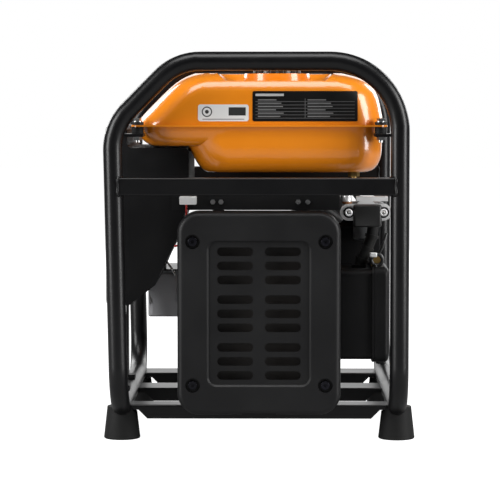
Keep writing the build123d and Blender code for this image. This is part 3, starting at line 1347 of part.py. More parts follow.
with BuildPart() as fascia:
    with BuildSketch(facing_x(PANEL_X + FASCIA_T, BOX_MIDDLE_Y, FASCIA_Z)):
        RectangleRounded(BOX_L, FASCIA_H, 12)
    extrude(amount=PANEL_X + FASCIA_T - RIM_X)
    fillet(fascia.edges().group_by(Axis.X)[0], radius=3)
    with BuildSketch(facing_x(PANEL_X, BOX_MIDDLE_Y, FASCIA_Z)):
        RectangleRounded(BOX_L - 2 * FASCIA_RIM, FASCIA_H - 2 * FASCIA_RIM, 8)
    extrude(amount=PANEL_X - RIM_X, mode=Mode.SUBTRACT)
    with BuildSketch(on_panel(KNOB_SPOT)):
        Circle(KNOB_SHAFT_R + GAP)
    extrude(amount=-FASCIA_T, mode=Mode.SUBTRACT)
    with BuildSketch(on_panel(ROCKER_SPOT)):
        Rectangle(ROCKER_W + 2 * GAP, 2 * ROCKER_R + 2 * GAP)
    extrude(amount=-FASCIA_T, mode=Mode.SUBTRACT)
    with BuildSketch(on_panel(BUTTON_SPOT)):
        Circle(BUTTON_R + GAP)
    extrude(amount=-FASCIA_T, mode=Mode.SUBTRACT)
    for spot in SOCKET_SPOTS.values():
        with BuildSketch(on_panel(spot)):
            Circle(SOCKET_RECESS_D / 2 + 2)
        extrude(amount=-FASCIA_T, mode=Mode.SUBTRACT)
    with BuildSketch(on_panel(DC_SPOT)):
        Circle(12)
    extrude(amount=-FASCIA_T, mode=Mode.SUBTRACT)
    for spot in LAMP_SPOTS:
        with BuildSketch(on_panel(spot)):
            Circle(LAMP_R)
        extrude(amount=-FASCIA_T, mode=Mode.SUBTRACT)
    with BuildSketch(on_panel(EARTH_SPOT)):
        Circle(EARTH_R)
    extrude(amount=-FASCIA_T, mode=Mode.SUBTRACT)
save(fascia, "control_fascia")

KNOB_T = 7.0
with BuildPart() as knob:
    with BuildSketch(on_panel(KNOB_SPOT, PANEL_X - GAP)):
        Circle(KNOB_D / 2)
    extrude(amount=2)
    with BuildSketch(on_panel(KNOB_SPOT, PANEL_X - GAP)):
        Circle(KNOB_D / 2 - 6)
        RectangleRounded(11, KNOB_D - 3, 4)
    extrude(amount=KNOB_T)
    with BuildSketch(on_panel(KNOB_SPOT, PANEL_X - GAP)):
        Circle(KNOB_SHAFT_R)
    extrude(amount=-FASCIA_T - 12)
save(knob, "engine_switch_knob")

ROCKER_PIVOT_X = PANEL_X + 5.0
with BuildPart() as rocker:
    with BuildSketch(Plane(origin=(ROCKER_PIVOT_X, ROCKER_SPOT[0] + ROCKER_W / 2, ROCKER_SPOT[1]),
                           x_dir=(1, 0, 0), z_dir=(0, -1, 0))):
        Circle(ROCKER_R)
        with Locations((-ROCKER_R - 1, ROCKER_R)):
            Rectangle(10, 2 * ROCKER_R, rotation=8, mode=Mode.SUBTRACT)
        with Locations((-ROCKER_R - 1, -ROCKER_R)):
            Rectangle(10, 2 * ROCKER_R, rotation=-22, mode=Mode.SUBTRACT)
    extrude(amount=ROCKER_W)
save(rocker, "eco_rocker")

with BuildPart() as button:
    with BuildSketch(on_panel(BUTTON_SPOT, PANEL_X + FASCIA_T + 8)):
        Circle(BUTTON_R)
    extrude(amount=FASCIA_T + 8 + 5)
    fillet(button.edges().group_by(Axis.X)[0], radius=1)
save(button, "breaker_button")

with BuildPart() as breaker_body:
    bar(
        PANEL_X + FASCIA_T + 13, PANEL_X + FASCIA_T + 35, BUTTON_SPOT[0] - 12, BUTTON_SPOT[0] + 12,
        BUTTON_SPOT[1] - 16, BUTTON_SPOT[1] + 16,
    )
save(breaker_body, "panel_outlets")

for socket_name, spot in SOCKET_SPOTS.items():
    with BuildPart() as socket:
        with BuildSketch(on_panel(spot)):
            Circle(SOCKET_D / 2)
        extrude(amount=2)
        with BuildSketch(on_panel(spot)):
            Circle(SOCKET_RECESS_D / 2 + 2)
        extrude(amount=-SOCKET_RECESS_L - 6)
        with BuildSketch(on_panel(spot, PANEL_X - 2)):
            Circle(SOCKET_RECESS_D / 2)
        extrude(amount=-SOCKET_RECESS_L - 2, mode=Mode.SUBTRACT)
        with BuildSketch(on_panel(spot, PANEL_X + SOCKET_RECESS_L)):
            with Locations((-9.5, 0), (9.5, 0)):
                Circle(2.5)
        extrude(amount=-6, mode=Mode.SUBTRACT)
    save(socket, "panel_outlets")

    hinge_z = spot[1] + LID_SIDE / 2 + 4
    lid_x = PANEL_X - 2 - GAP
    with BuildPart() as lid:
        bar(
            lid_x - LID_T, lid_x, spot[0] - LID_SIDE / 2, spot[0] + LID_SIDE / 2,
            spot[1] - LID_SIDE / 2, hinge_z,
        )
        fillet(lid.edges().filter_by(Axis.X).group_by(Axis.Z)[0], radius=8)
        with BuildSketch(upright(lid_x - 2.5, spot[0] - LID_SIDE / 2 + 6, hinge_z)):
            Circle(2.5)
            Circle(1.2 + RUN_FIT, mode=Mode.SUBTRACT)
        extrude(amount=-LID_SIDE + 12)
        with BuildSketch(upright(lid_x - 2.5, spot[0] - LID_SIDE / 2, hinge_z)):
            Circle(1.2 + RUN_FIT)
        extrude(amount=-LID_SIDE, mode=Mode.SUBTRACT)
        for y_low in (spot[0] - LID_SIDE / 2 - 1, spot[0] + LID_SIDE / 2 - 6 - GAP):
            bar(lid_x - 6, lid_x + 3, y_low, y_low + 7 + GAP, hinge_z - 3.2, hinge_z + 4, Mode.SUBTRACT)
    save(lid, f"{socket_name}_lid")

    with BuildPart() as hinge_pin:
        with BuildSketch(upright(lid_x - 2.5, spot[0] - LID_SIDE / 2, hinge_z)):
            Circle(1.2)
        extrude(amount=-LID_SIDE)
        for y_low in (spot[0] - LID_SIDE / 2, spot[0] + LID_SIDE / 2 - 5):
            bar(lid_x - 4.2, PANEL_X, y_low, y_low + 5, hinge_z - 2.5, hinge_z + 2.5)
    save(hinge_pin, "lid_hinges")

with BuildPart() as dc_outlet:
    with BuildSketch(on_panel(DC_SPOT)):
        Circle(14)
    extrude(amount=2.5)
    with BuildSketch(on_panel(DC_SPOT)):
        Circle(12)
    extrude(amount=-30)
    with BuildSketch(on_panel(DC_SPOT, PANEL_X - 2.5)):
        Circle(10.5)
    extrude(amount=-28, mode=Mode.SUBTRACT)
save(dc_outlet, "panel_outlets")

with BuildPart() as lamps:
    for spot in LAMP_SPOTS:
        with BuildSketch(on_panel(spot, PANEL_X + FASCIA_T)):
            Circle(LAMP_R)
        extrude(amount=FASCIA_T + 2)
    fillet(lamps.edges().group_by(Axis.X)[0], radius=1.5)
save(lamps, "indicator_lamps")

with BuildPart() as earth_stud:
    with BuildSketch(on_panel(EARTH_SPOT, PANEL_X + FASCIA_T + 4)):
        Circle(EARTH_R)
    extrude(amount=FASCIA_T + 4 + 8)
    with BuildSketch(on_panel(EARTH_SPOT)):
        RegularPolygon(6, 6)
    extrude(amount=3.5)
save(earth_stud, "brass_fittings")

# inverter module behind the box, hung from a plate on the box's far end
MODULE_NEAR_Y = 62.0
MODULE_FAR_Y = 176.0
MODULE_TOP = 210.0
MODULE_BOTTOM = 142.0
MODULE_LOW_X = -164.0
MODULE_HIGH_X = -119.0
with BuildPart() as inverter_module:
    bar(MODULE_LOW_X, MODULE_HIGH_X, MODULE_NEAR_Y, MODULE_FAR_Y, MODULE_BOTTOM, MODULE_TOP)
    fillet(inverter_module.edges().filter_by(Axis.Y), radius=3)
    for fin in range(8):
        fin_z = MODULE_BOTTOM + 8 + fin * (MODULE_TOP - MODULE_BOTTOM - 12) / 8
        bar(
            MODULE_LOW_X - 1, MODULE_LOW_X + 12, MODULE_NEAR_Y + 8, MODULE_FAR_Y + 1,
            fin_z, fin_z + 3.5, Mode.SUBTRACT,
        )
save(inverter_module, "inverter_module")

with BuildPart() as module_bracket:
    bar(MODULE_LOW_X, -116, BOX_FAR_Y, MODULE_FAR_Y, MODULE_TOP, MODULE_TOP + 2.5)
    bar(MODULE_LOW_X, -137, BOX_FAR_Y, BOX_FAR_Y + 2.5, MODULE_TOP, MODULE_TOP + 45)
save(module_bracket, "box_brackets")

# bracket that carries the box on the control-side bottom run
BOX_FOOT_Y = (-100.0, 20.0)
with BuildPart() as box_feet:
    for y in BOX_FOOT_Y:
        bar(-LEG_X - 6, -LEG_X + 6, y - 12, y + 12, RUN_Z + TUBE_D / 2 - 4, BOX_BOTTOM)
        bar(
            -LEG_X - 3, -LEG_X + 6.1, y - 13, y + 13,
            RUN_Z + TUBE_D / 2 + 6, BOX_BOTTOM - 3, Mode.SUBTRACT,
        )
    add(hoop_cores[-1], mode=Mode.SUBTRACT)
    add(hoop_cores[1], mode=Mode.SUBTRACT)
save(box_feet, "box_brackets")

# temperature lead: connector above the cover, lead down behind it to the box
LEAD_X = -98.0
LEAD_Y = -203.0
CONNECTOR_TOP = 331.0
with BuildPart() as connector:
    bar(-107, -84, -213, -200.4, 320, CONNECTOR_TOP)
    fillet(connector.edges().filter_by(Axis.Y), radius=1.5)
    bar(-90, -86, -214.5, -213, 322, CONNECTOR_TOP - 2)
    bar(-105, -101, -214.5, -213, 322, CONNECTOR_TOP - 2)
save(connector, "lead_connector")

with BuildLine() as lead_route:
    FilletPolyline(
        (LEAD_X, LEAD_Y, 320),
        (LEAD_X, LEAD_Y, 268),
        (LEAD_X - 16, LEAD_Y + 24, 262),
        radius=14,
    )
with BuildPart() as lead:
    with BuildSketch(Plane(origin=lead_route.line @ 0, z_dir=lead_route.line % 0)):
        Circle(1.4)
    sweep(path=lead_route.line)
save(lead, "red_lead")

# ---------------------------------------------------------------- write the nodes
for node, members in nodes.items():
    whole = members[0] if len(members) == 1 else Compound(label=node, children=members)
    export_step(whole, f"parts/{node}.step")
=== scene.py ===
"""Portable generator: dresses the solid model and adds the small formed pieces."""
import json
import logging
import math
from dataclasses import dataclass, field
from enum import Enum
from typing import Callable, Optional

import bpy
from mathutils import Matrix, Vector


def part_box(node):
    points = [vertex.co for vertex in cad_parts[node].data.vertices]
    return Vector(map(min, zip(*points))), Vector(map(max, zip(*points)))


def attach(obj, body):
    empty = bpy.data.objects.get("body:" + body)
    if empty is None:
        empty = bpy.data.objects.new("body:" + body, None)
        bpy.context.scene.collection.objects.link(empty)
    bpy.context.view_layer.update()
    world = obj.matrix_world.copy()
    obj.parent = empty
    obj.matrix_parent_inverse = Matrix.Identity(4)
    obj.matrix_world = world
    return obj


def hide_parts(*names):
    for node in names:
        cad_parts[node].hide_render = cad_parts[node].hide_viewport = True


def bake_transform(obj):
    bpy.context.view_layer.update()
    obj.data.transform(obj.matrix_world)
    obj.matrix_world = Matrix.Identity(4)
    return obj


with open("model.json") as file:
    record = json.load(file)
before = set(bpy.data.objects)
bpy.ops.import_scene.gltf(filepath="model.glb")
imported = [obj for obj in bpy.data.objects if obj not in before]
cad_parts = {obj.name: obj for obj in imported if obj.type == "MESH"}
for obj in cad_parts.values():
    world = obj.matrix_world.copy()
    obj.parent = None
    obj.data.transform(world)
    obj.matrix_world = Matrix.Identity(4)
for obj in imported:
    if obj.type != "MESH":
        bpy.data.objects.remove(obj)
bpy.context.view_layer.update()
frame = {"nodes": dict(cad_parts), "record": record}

LOG = logging.getLogger("generator")
MM = 0.001
SMOOTH = 60.0             # shading angle of round wires and rings

Object = bpy.types.Object
Place = tuple[float, float, float]
Material = bpy.types.Material
Socket = bpy.types.NodeSocket
Group = bpy.types.ShaderNodeTree


class Ground(Enum):
    """How a surface's small relief is made."""

    PEEL = "orange peel of sprayed or powder paint"
    GRAIN = "moulded or matt-sprayed grain"
    CAST = "rough cast skin"
    BRUSHED = "fine drawn lines"


# ------------------------------------------------------------------ shader groups
def new_group(name: str, inputs: dict[str, tuple[str, object]], outputs: dict[str, str]) -> Group:
    """Make an empty shader group with named sockets.

    Args:
        name: the group's name.
        inputs: socket name to its kind and default value.
        outputs: socket name to its kind.

    Returns:
        The new group, holding its input and output nodes.
    """
    group = bpy.data.node_groups.new(name, "ShaderNodeTree")
    for label, (kind, value) in inputs.items():
        socket = group.interface.new_socket(label, in_out="INPUT", socket_type=kind)
        if value is not None:
            socket.default_value = value
    for label, kind in outputs.items():
        group.interface.new_socket(label, in_out="OUTPUT", socket_type=kind)
    group.nodes.new("NodeGroupInput").name = "in"
    group.nodes.new("NodeGroupOutput").name = "out"
    return group


def noise(tree: bpy.types.NodeTree, vector: Socket, scale: float, detail: float = 2.0) -> bpy.types.Node:
    """Add a noise texture read from a vector socket."""
    node = tree.nodes.new("ShaderNodeTexNoise")
    node.inputs["Scale"].default_value = scale
    node.inputs["Detail"].default_value = detail
    tree.links.new(vector, node.inputs["Vector"])
    return node


def relief_group() -> Group:
    """Build the group that gives two sizes of relief and their mix."""
    group = new_group(
        "surface relief",
        {"Vector": ("NodeSocketVector", None), "Scale": ("NodeSocketFloat", 900.0),
         "Coarse": ("NodeSocketFloat", 0.3)},
        {"Height": "NodeSocketFloat"},
    )
    links, nodes = group.links, group.nodes
    source = nodes["in"].outputs
    fine = noise(group, source["Vector"], 1.0, 3.0)
    links.new(source["Scale"], fine.inputs["Scale"])
    wide = nodes.new("ShaderNodeTexNoise")
    share = nodes.new("ShaderNodeMath")
    share.operation = "MULTIPLY"
    share.inputs[1].default_value = 0.17
    links.new(source["Scale"], share.inputs[0])
    links.new(share.outputs[0], wide.inputs["Scale"])
    links.new(source["Vector"], wide.inputs["Vector"])
    mix = nodes.new("ShaderNodeMix")
    links.new(source["Coarse"], mix.inputs["Factor"])
    links.new(fine.outputs["Fac"], mix.inputs["A"])
    links.new(wide.outputs["Fac"], mix.inputs["B"])
    links.new(mix.outputs["Result"], nodes["out"].inputs["Height"])
    return group


def tone_group() -> Group:
    """Build the group that shifts a colour and a roughness in soft patches."""
    group = new_group(
        "soft tone",
        {"Vector": ("NodeSocketVector", None), "Colour": ("NodeSocketColor", None),
         "Second": ("NodeSocketColor", None), "Scale": ("NodeSocketFloat", 12.0),
         "Low Roughness": ("NodeSocketFloat", 0.3), "High Roughness": ("NodeSocketFloat", 0.4)},
        {"Colour": "NodeSocketColor", "Roughness": "NodeSocketFloat"},
    )
    links, nodes = group.links, group.nodes
    source = nodes["in"].outputs
    patch = noise(group, source["Vector"], 1.0, 5.0)
    links.new(source["Scale"], patch.inputs["Scale"])
    ramp = nodes.new("ShaderNodeMapRange")
    ramp.inputs["From Min"].default_value = 0.35
    ramp.inputs["From Max"].default_value = 0.7
    links.new(patch.outputs["Fac"], ramp.inputs["Value"])
    colour = nodes.new("ShaderNodeMix")
    colour.data_type = "RGBA"
    links.new(ramp.outputs["Result"], colour.inputs["Factor"])
    links.new(source["Colour"], colour.inputs["A"])
    links.new(source["Second"], colour.inputs["B"])
    links.new(colour.outputs["Result"], nodes["out"].inputs["Colour"])
    rough = nodes.new("ShaderNodeMix")
    links.new(ramp.outputs["Result"], rough.inputs["Factor"])
    links.new(source["Low Roughness"], rough.inputs["A"])
    links.new(source["High Roughness"], rough.inputs["B"])
    links.new(rough.outputs["Result"], nodes["out"].inputs["Roughness"])
    return group


RELIEF = relief_group()
TONE = tone_group()


# ------------------------------------------------------------------ finishes
@dataclass(frozen=True)
class Finish:
    """One finish: colours, gloss and small relief.

    Attributes:
        name: what the finish is called.
        colour: main colour, linear.
        second: the colour it drifts to in soft patches.
        rough: lowest and highest roughness.
        metallic: metal share.
        ground: kind of relief.
        scale: relief cells to the metre.
        bump: relief depth, in millimetres.
        coat: clear coat weight.
        coat_rough: clear coat roughness.
        patch: soft colour patches to the metre.
        shine: specular level, 0.5 for plain plastics and paints.
        paint: draws marks over the colour.
    """

    name: str
    colour: tuple[float, float, float]
    second: tuple[float, float, float]
    rough: tuple[float, float] = (0.35, 0.45)
    metallic: float = 0.0
    ground: Ground = Ground.GRAIN
    scale: float = 1500.0
    bump: float = 0.03
    coat: float = 0.0
    coat_rough: float = 0.1
    patch: float = 14.0
    shine: float = 0.5
    paint: Optional[Callable[[bpy.types.NodeTree, Socket, Socket], Socket]] = field(default=None, compare=False)

    def material(self) -> Material:
        """Return the finish's material, made on first use."""
        made = bpy.data.materials.get(self.name)
        return made if made else self._build()

    def _build(self) -> Material:
        """Build the node tree.

        Returns:
            The new material.
        """
        made = bpy.data.materials.new(self.name)
        made.use_nodes = True
        tree = made.node_tree
        shader = tree.nodes["Principled BSDF"]
        place = tree.nodes.new("ShaderNodeTexCoord").outputs["Object"]
        tone = tree.nodes.new("ShaderNodeGroup")
        tone.node_tree = TONE
        tree.links.new(place, tone.inputs["Vector"])
        tone.inputs["Colour"].default_value = (*self.colour, 1.0)
        tone.inputs["Second"].default_value = (*self.second, 1.0)
        tone.inputs["Scale"].default_value = self.patch
        tone.inputs["Low Roughness"].default_value = self.rough[0]
        tone.inputs["High Roughness"].default_value = self.rough[1]
        colour = tone.outputs["Colour"]
        if self.paint:
            colour = self.paint(tree, place, colour)
        tree.links.new(colour, shader.inputs["Base Color"])
        tree.links.new(tone.outputs["Roughness"], shader.inputs["Roughness"])
        shader.inputs["Specular IOR Level"].default_value = self.shine
        relief = tree.nodes.new("ShaderNodeGroup")
        relief.node_tree = RELIEF
        relief.inputs["Scale"].default_value = self.scale
        relief.inputs["Coarse"].default_value = 0.6 if self.ground is Ground.CAST else 0.25
        if self.ground is Ground.BRUSHED:
            stretch = tree.nodes.new("ShaderNodeMapping")
            stretch.inputs["Scale"].default_value = (1.0, 0.06, 1.0)
            tree.links.new(place, stretch.inputs["Vector"])
            tree.links.new(stretch.outputs["Vector"], relief.inputs["Vector"])
        else:
            tree.links.new(place, relief.inputs["Vector"])
        bump = tree.nodes.new("ShaderNodeBump")
        bump.inputs["Distance"].default_value = self.bump * MM
        tree.links.new(relief.outputs["Height"], bump.inputs["Height"])
        tree.links.new(bump.outputs["Normal"], shader.inputs["Normal"])
        shader.inputs["Metallic"].default_value = self.metallic
        shader.inputs["Coat Weight"].default_value = self.coat
        shader.inputs["Coat Roughness"].default_value = self.coat_rough
        return made


def math_node(tree: bpy.types.NodeTree, work: str, first: object, second: object = 0.0) -> Socket:
    """Add a math node fed by sockets or numbers, and return its output."""
    node = tree.nodes.new("ShaderNodeMath")
    node.operation = work
    for index, value in enumerate((first, second)):
        if isinstance(value, (int, float)):
            node.inputs[index].default_value = value
        else:
            tree.links.new(value, node.inputs[index])
    return node.outputs[0]


def split(tree: bpy.types.NodeTree, place: Socket) -> tuple[Socket, Socket]:
    """Return the X and Z of a position socket."""
    parts = tree.nodes.new("ShaderNodeSeparateXYZ")
    tree.links.new(place, parts.inputs["Vector"])
    return parts.outputs["X"], parts.outputs["Z"]


def inside(tree: bpy.types.NodeTree, value: Socket, low: float, high: float) -> Socket:
    """Return 1 where a value lies between two limits."""
    above = math_node(tree, "GREATER_THAN", value, low)
    below = math_node(tree, "LESS_THAN", value, high)
    return math_node(tree, "MULTIPLY", above, below)


def blend_in(tree: bpy.types.NodeTree, mask: Socket, under: Socket, over: tuple[float, float, float]) -> Socket:
    """Lay a plain colour over another where the mask is 1."""
    mix = tree.nodes.new("ShaderNodeMix")
    mix.data_type = "RGBA"
    mix.inputs["B"].default_value = (*over, 1.0)
    tree.links.new(mask, mix.inputs["Factor"])
    tree.links.new(under, mix.inputs["A"])
    return mix.outputs["Result"]


def plate_rules(tree: bpy.types.NodeTree, place: Socket, under: Socket) -> Socket:
    """Draw the plate's ruled table: six rows, two columns, plain bars for entries."""
    low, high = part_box("rating_plate")
    x, z = split(tree, place)
    left, right = low.x + 4 * MM, high.x - 4 * MM
    foot, head = low.z + 4 * MM, high.z - 10 * MM
    row = (head - foot) / 6
    field_mask = math_node(tree, "MULTIPLY", inside(tree, x, left, right), inside(tree, z, foot, head))
    step = math_node(tree, "FRACT", math_node(tree, "DIVIDE", math_node(tree, "SUBTRACT", z, foot), row))
    rule = math_node(tree, "LESS_THAN", step, 0.11)
    middle = inside(tree, x, (left + right) / 2 - 0.3 * MM, (left + right) / 2 + 0.3 * MM)
    lines = math_node(tree, "MULTIPLY", math_node(tree, "MAXIMUM", rule, middle), field_mask)
    tall = inside(tree, step, 0.42, 0.72)
    half = (right - left) / 2
    along = math_node(
        tree, "FRACT", math_node(tree, "DIVIDE", math_node(tree, "SUBTRACT", x, left), half)
    )
    index = math_node(tree, "FLOOR", math_node(tree, "DIVIDE", math_node(tree, "SUBTRACT", z, foot), row))
    reach = math_node(tree, "ADD", math_node(tree, "MULTIPLY", math_node(tree, "SINE", math_node(
        tree, "MULTIPLY", index, 2.3)), 0.09), 0.5)
    bars = math_node(tree, "MULTIPLY", tall, math_node(tree, "LESS_THAN", along, reach))
    bars = math_node(tree, "MULTIPLY", bars, math_node(tree, "GREATER_THAN", along, 0.05))
    bars = math_node(tree, "MULTIPLY", bars, field_mask)
    title = math_node(tree, "MULTIPLY", inside(tree, z, head + 3.2 * MM, head + 6.4 * MM),
                      inside(tree, x, left, left + 38 * MM))
    ruled = blend_in(tree, lines, under, (0.16, 0.16, 0.16))
    barred = blend_in(tree, bars, ruled, (0.2, 0.2, 0.2))
    return blend_in(tree, title, barred, (0.45, 0.45, 0.45))


def label_marks(tree: bpy.types.NodeTree, place: Socket, under: Socket) -> Socket:
    """Draw the white label's plain disc, dark strip and foot line."""
    low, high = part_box("advice_label")
    x, z = split(tree, place)
    middle = (low.z + high.z) / 2 + 1.5 * MM
    across = math_node(tree, "SUBTRACT", x, low.x + 12 * MM)
    up = math_node(tree, "SUBTRACT", z, middle)
    reach = math_node(tree, "SQRT", math_node(
        tree, "ADD", math_node(tree, "MULTIPLY", across, across), math_node(tree, "MULTIPLY", up, up)))
    ring = inside(tree, reach, 5.4 * MM, 7.0 * MM)
    dot = math_node(tree, "LESS_THAN", reach, 2.6 * MM)
    mark = math_node(tree, "MAXIMUM", ring, dot)
    strip = math_node(tree, "MULTIPLY", inside(tree, x, high.x - 27 * MM, high.x - 4 * MM),
                      inside(tree, z, middle - 5 * MM, middle + 6 * MM))
    foot = math_node(tree, "MULTIPLY", inside(tree, x, low.x + 6 * MM, high.x - 6 * MM),
                     inside(tree, z, low.z + 2.4 * MM, low.z + 3.3 * MM))
    dark = math_node(tree, "MAXIMUM", math_node(tree, "MAXIMUM", mark, strip), foot)
    return blend_in(tree, dark, under, (0.03, 0.03, 0.03))


FINISHES: dict[str, Finish] = {
    "powder_black": Finish("satin black powder coat", (0.0025, 0.0025, 0.003), (0.0035, 0.0035, 0.004),
                           (0.30, 0.36), ground=Ground.PEEL, scale=900, bump=0.015, shine=0.4),
    "tank_orange": Finish("orange tank enamel", (0.84, 0.245, 0.006), (0.87, 0.262, 0.008), (0.28, 0.34),
                          ground=Ground.PEEL, scale=420, bump=0.018, coat=1.0, coat_rough=0.06),
    "cover_black": Finish("matt heat-proof black", (0.006, 0.006, 0.0065), (0.0085, 0.0085, 0.009),
                          (0.46, 0.54), ground=Ground.GRAIN, scale=2600, bump=0.05, shine=0.3),
    "muffler_steel": Finish("dark muffler steel", (0.014, 0.013, 0.013), (0.024, 0.020, 0.018), (0.50, 0.65),
                            metallic=0.4, ground=Ground.CAST, scale=700, bump=0.05),
    "black_bolt": Finish("black oxide", (0.012, 0.012, 0.016), (0.02, 0.02, 0.03), (0.28, 0.4),
                         metallic=0.7, scale=3000, bump=0.01),
    "zinc_bolt": Finish("bright zinc", (0.56, 0.57, 0.58), (0.62, 0.62, 0.60), (0.25, 0.38),
                        metallic=1.0, ground=Ground.BRUSHED, scale=2200, bump=0.01),
    "zinc_plate": Finish("zinc die casting", (0.90, 0.91, 0.92), (0.96, 0.96, 0.96), (0.22, 0.34),
                         metallic=0.35, ground=Ground.CAST, scale=1400, bump=0.03),
    "cast_alloy": Finish("sand-cast alloy", (0.30, 0.31, 0.32), (0.40, 0.40, 0.40), (0.45, 0.6),
                         metallic=0.9, ground=Ground.CAST, scale=1100, bump=0.12),
    "valve_cover_black": Finish("satin black paint", (0.018, 0.018, 0.018), (0.024, 0.024, 0.024),
                                (0.35, 0.45), ground=Ground.PEEL, scale=900, bump=0.04),
    "steel": Finish("ground steel", (0.42, 0.42, 0.42), (0.5, 0.5, 0.5), (0.25, 0.4), metallic=1.0,
                    ground=Ground.BRUSHED, scale=1800, bump=0.01),
    "piston_alloy": Finish("turned alloy", (0.55, 0.55, 0.55), (0.6, 0.6, 0.6), (0.3, 0.4), metallic=1.0),
    "stator_iron": Finish("varnished windings", (0.22, 0.09, 0.03), (0.3, 0.13, 0.05), (0.35, 0.5),
                          ground=Ground.BRUSHED, scale=900, bump=0.2),
    "black_plastic": Finish("fine-grained black plastic", (0.006, 0.006, 0.0065), (0.009, 0.009, 0.0095),
                            (0.42, 0.52), scale=2400, bump=0.04, shine=0.2),
    "gloss_black": Finish("smooth black plastic", (0.012, 0.012, 0.012), (0.016, 0.016, 0.016), (0.25, 0.33),
                          scale=1600, bump=0.012, coat=0.2),
    "signal_red": Finish("red PVC", (0.55, 0.018, 0.012), (0.62, 0.03, 0.02), (0.3, 0.4), bump=0.01),
    "rubber": Finish("black rubber", (0.006, 0.006, 0.006), (0.011, 0.011, 0.011), (0.6, 0.75),
                     scale=1700, bump=0.06, shine=0.3),
    "foam": Finish("filter foam", (0.02, 0.02, 0.02), (0.04, 0.04, 0.04), (0.9, 1.0), ground=Ground.CAST,
                   scale=900, bump=0.8),
    "rope": Finish("braided cord", (0.03, 0.03, 0.03), (0.05, 0.05, 0.05), (0.8, 0.9),
                   ground=Ground.BRUSHED, scale=1500, bump=0.3),
    "nylon_white": Finish("white nylon", (0.93, 0.93, 0.92), (0.88, 0.88, 0.86), (0.4, 0.5), bump=0.02),
    "brass": Finish("machined brass", (0.42, 0.26, 0.08), (0.5, 0.33, 0.12), (0.25, 0.35), metallic=1.0,
                    ground=Ground.BRUSHED, scale=1600, bump=0.015),
    "plate_black": Finish("printed black foil", (0.006, 0.006, 0.006), (0.009, 0.009, 0.009), (0.3, 0.4),
                          bump=0.008, shine=0.22, paint=plate_rules),
    "label_white": Finish("printed white film", (0.74, 0.74, 0.73), (0.7, 0.7, 0.69), (0.35, 0.45),
                          bump=0.008, paint=label_marks),
    "module_grey": Finish("grey potting", (0.46, 0.46, 0.48), (0.58, 0.58, 0.60), (0.55, 0.75),
                          ground=Ground.CAST, scale=700, bump=0.5),
    "gauge_clear": Finish("gauge bezel", (0.03, 0.03, 0.03), (0.04, 0.04, 0.04), (0.2, 0.3), coat=1.0),
    "lamp": Finish("green lamp lens", (0.03, 0.42, 0.06), (0.05, 0.5, 0.08), (0.12, 0.2), coat=1.0),
    "plug_rubber": Finish("plug cap rubber", (0.015, 0.015, 0.015), (0.02, 0.02, 0.02), (0.5, 0.6)),
    "oil_plug_yellow": Finish("yellow plastic", (0.75, 0.42, 0.02), (0.8, 0.46, 0.03), (0.35, 0.45)),
}


# ------------------------------------------------------------------ making pieces
def pick(*objects: Object) -> None:
    """Select only these objects; the first becomes active."""
    bpy.ops.object.select_all(action="DESELECT")
    for obj in objects:
        obj.select_set(True)
    bpy.context.view_layer.objects.active = objects[0]


def apply_all(obj: Object) -> None:
    """Apply every modifier of an object, in order."""
    pick(obj)
    for name in [modifier.name for modifier in obj.modifiers]:
        bpy.ops.object.modifier_apply(modifier=name)


def settle(obj: Object) -> None:
    """Put an object's place, turn and scale into its mesh."""
    pick(obj)
    bpy.ops.object.transform_apply(location=True, rotation=True, scale=True)


def dress_piece(obj: Object, name: str, slot: str, angle: float) -> None:
    """Name a piece, give it its finish and shade it.

    Args:
        obj: the piece, its place already in its mesh.
        name: its name.
        slot: the finish, which is also the record's slot.
        angle: edges turned less than this are shaded smooth.
    """
    obj.name = name
    obj.data.name = name
    obj.data.materials.clear()
    obj.data.materials.append(FINISHES[slot].material())
    pick(obj)
    bpy.ops.object.shade_smooth_by_angle(angle=math.radians(angle))


def finish_piece(obj: Object, name: str, body: str, slot: str, angle: float = 35.0) -> Object:
    """Dress a new piece and let it ride on a body.

    Args:
        obj: the piece, its place already in its mesh.
        name: its name.
        body: the body that it moves with.
        slot: the finish, which is also the record's slot.
        angle: edges turned less than this are shaded smooth.

    Returns:
        The piece.
    """
    dress_piece(obj, name, slot, angle)
    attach(obj, body)
    LOG.info("made %s on %s", name, body)
    return obj


def skin_of(node: str, body: str, slot: str) -> Object:
    """Stand a merged, smoothly shaded copy of a solid in for it.

    Args:
        node: the solid's name.
        body: the body that it moves with.
        slot: the finish.

    Returns:
        The copy.
    """
    source = frame["nodes"][node]
    mesh = source.data.copy()
    copy = bpy.data.objects.new(f"{node}.skin", mesh)
    bpy.context.scene.collection.objects.link(copy)
    pick(copy)
    bpy.ops.object.mode_set(mode="EDIT")
    bpy.ops.mesh.select_all(action="SELECT")
    bpy.ops.mesh.customdata_custom_splitnormals_clear()
    bpy.ops.mesh.remove_doubles(threshold=0.00001)
    bpy.ops.mesh.normals_make_consistent(inside=False)
    bpy.ops.object.mode_set(mode="OBJECT")
    finish_piece(copy, f"{node}.skin", body, slot, 28.0)
    weight = copy.modifiers.new("even faces", "WEIGHTED_NORMAL")
    weight.keep_sharp = True
    apply_all(copy)
    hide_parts(node)
    return copy


def block(middle: Place, size: Place, edge: float) -> Object:
    """Make a block with rounded edges.

    Args:
        middle: its middle.
        size: its length along X, Y and Z.
        edge: radius of its edges.

    Returns:
        The block, its place in its mesh.
    """
    bpy.ops.mesh.primitive_cube_add(size=1.0, location=middle)
    piece = bpy.context.object
    piece.scale = size
    settle(piece)
    bevel = piece.modifiers.new("round", "BEVEL")
    bevel.width = edge
    bevel.segments = 4
    apply_all(piece)
    return piece


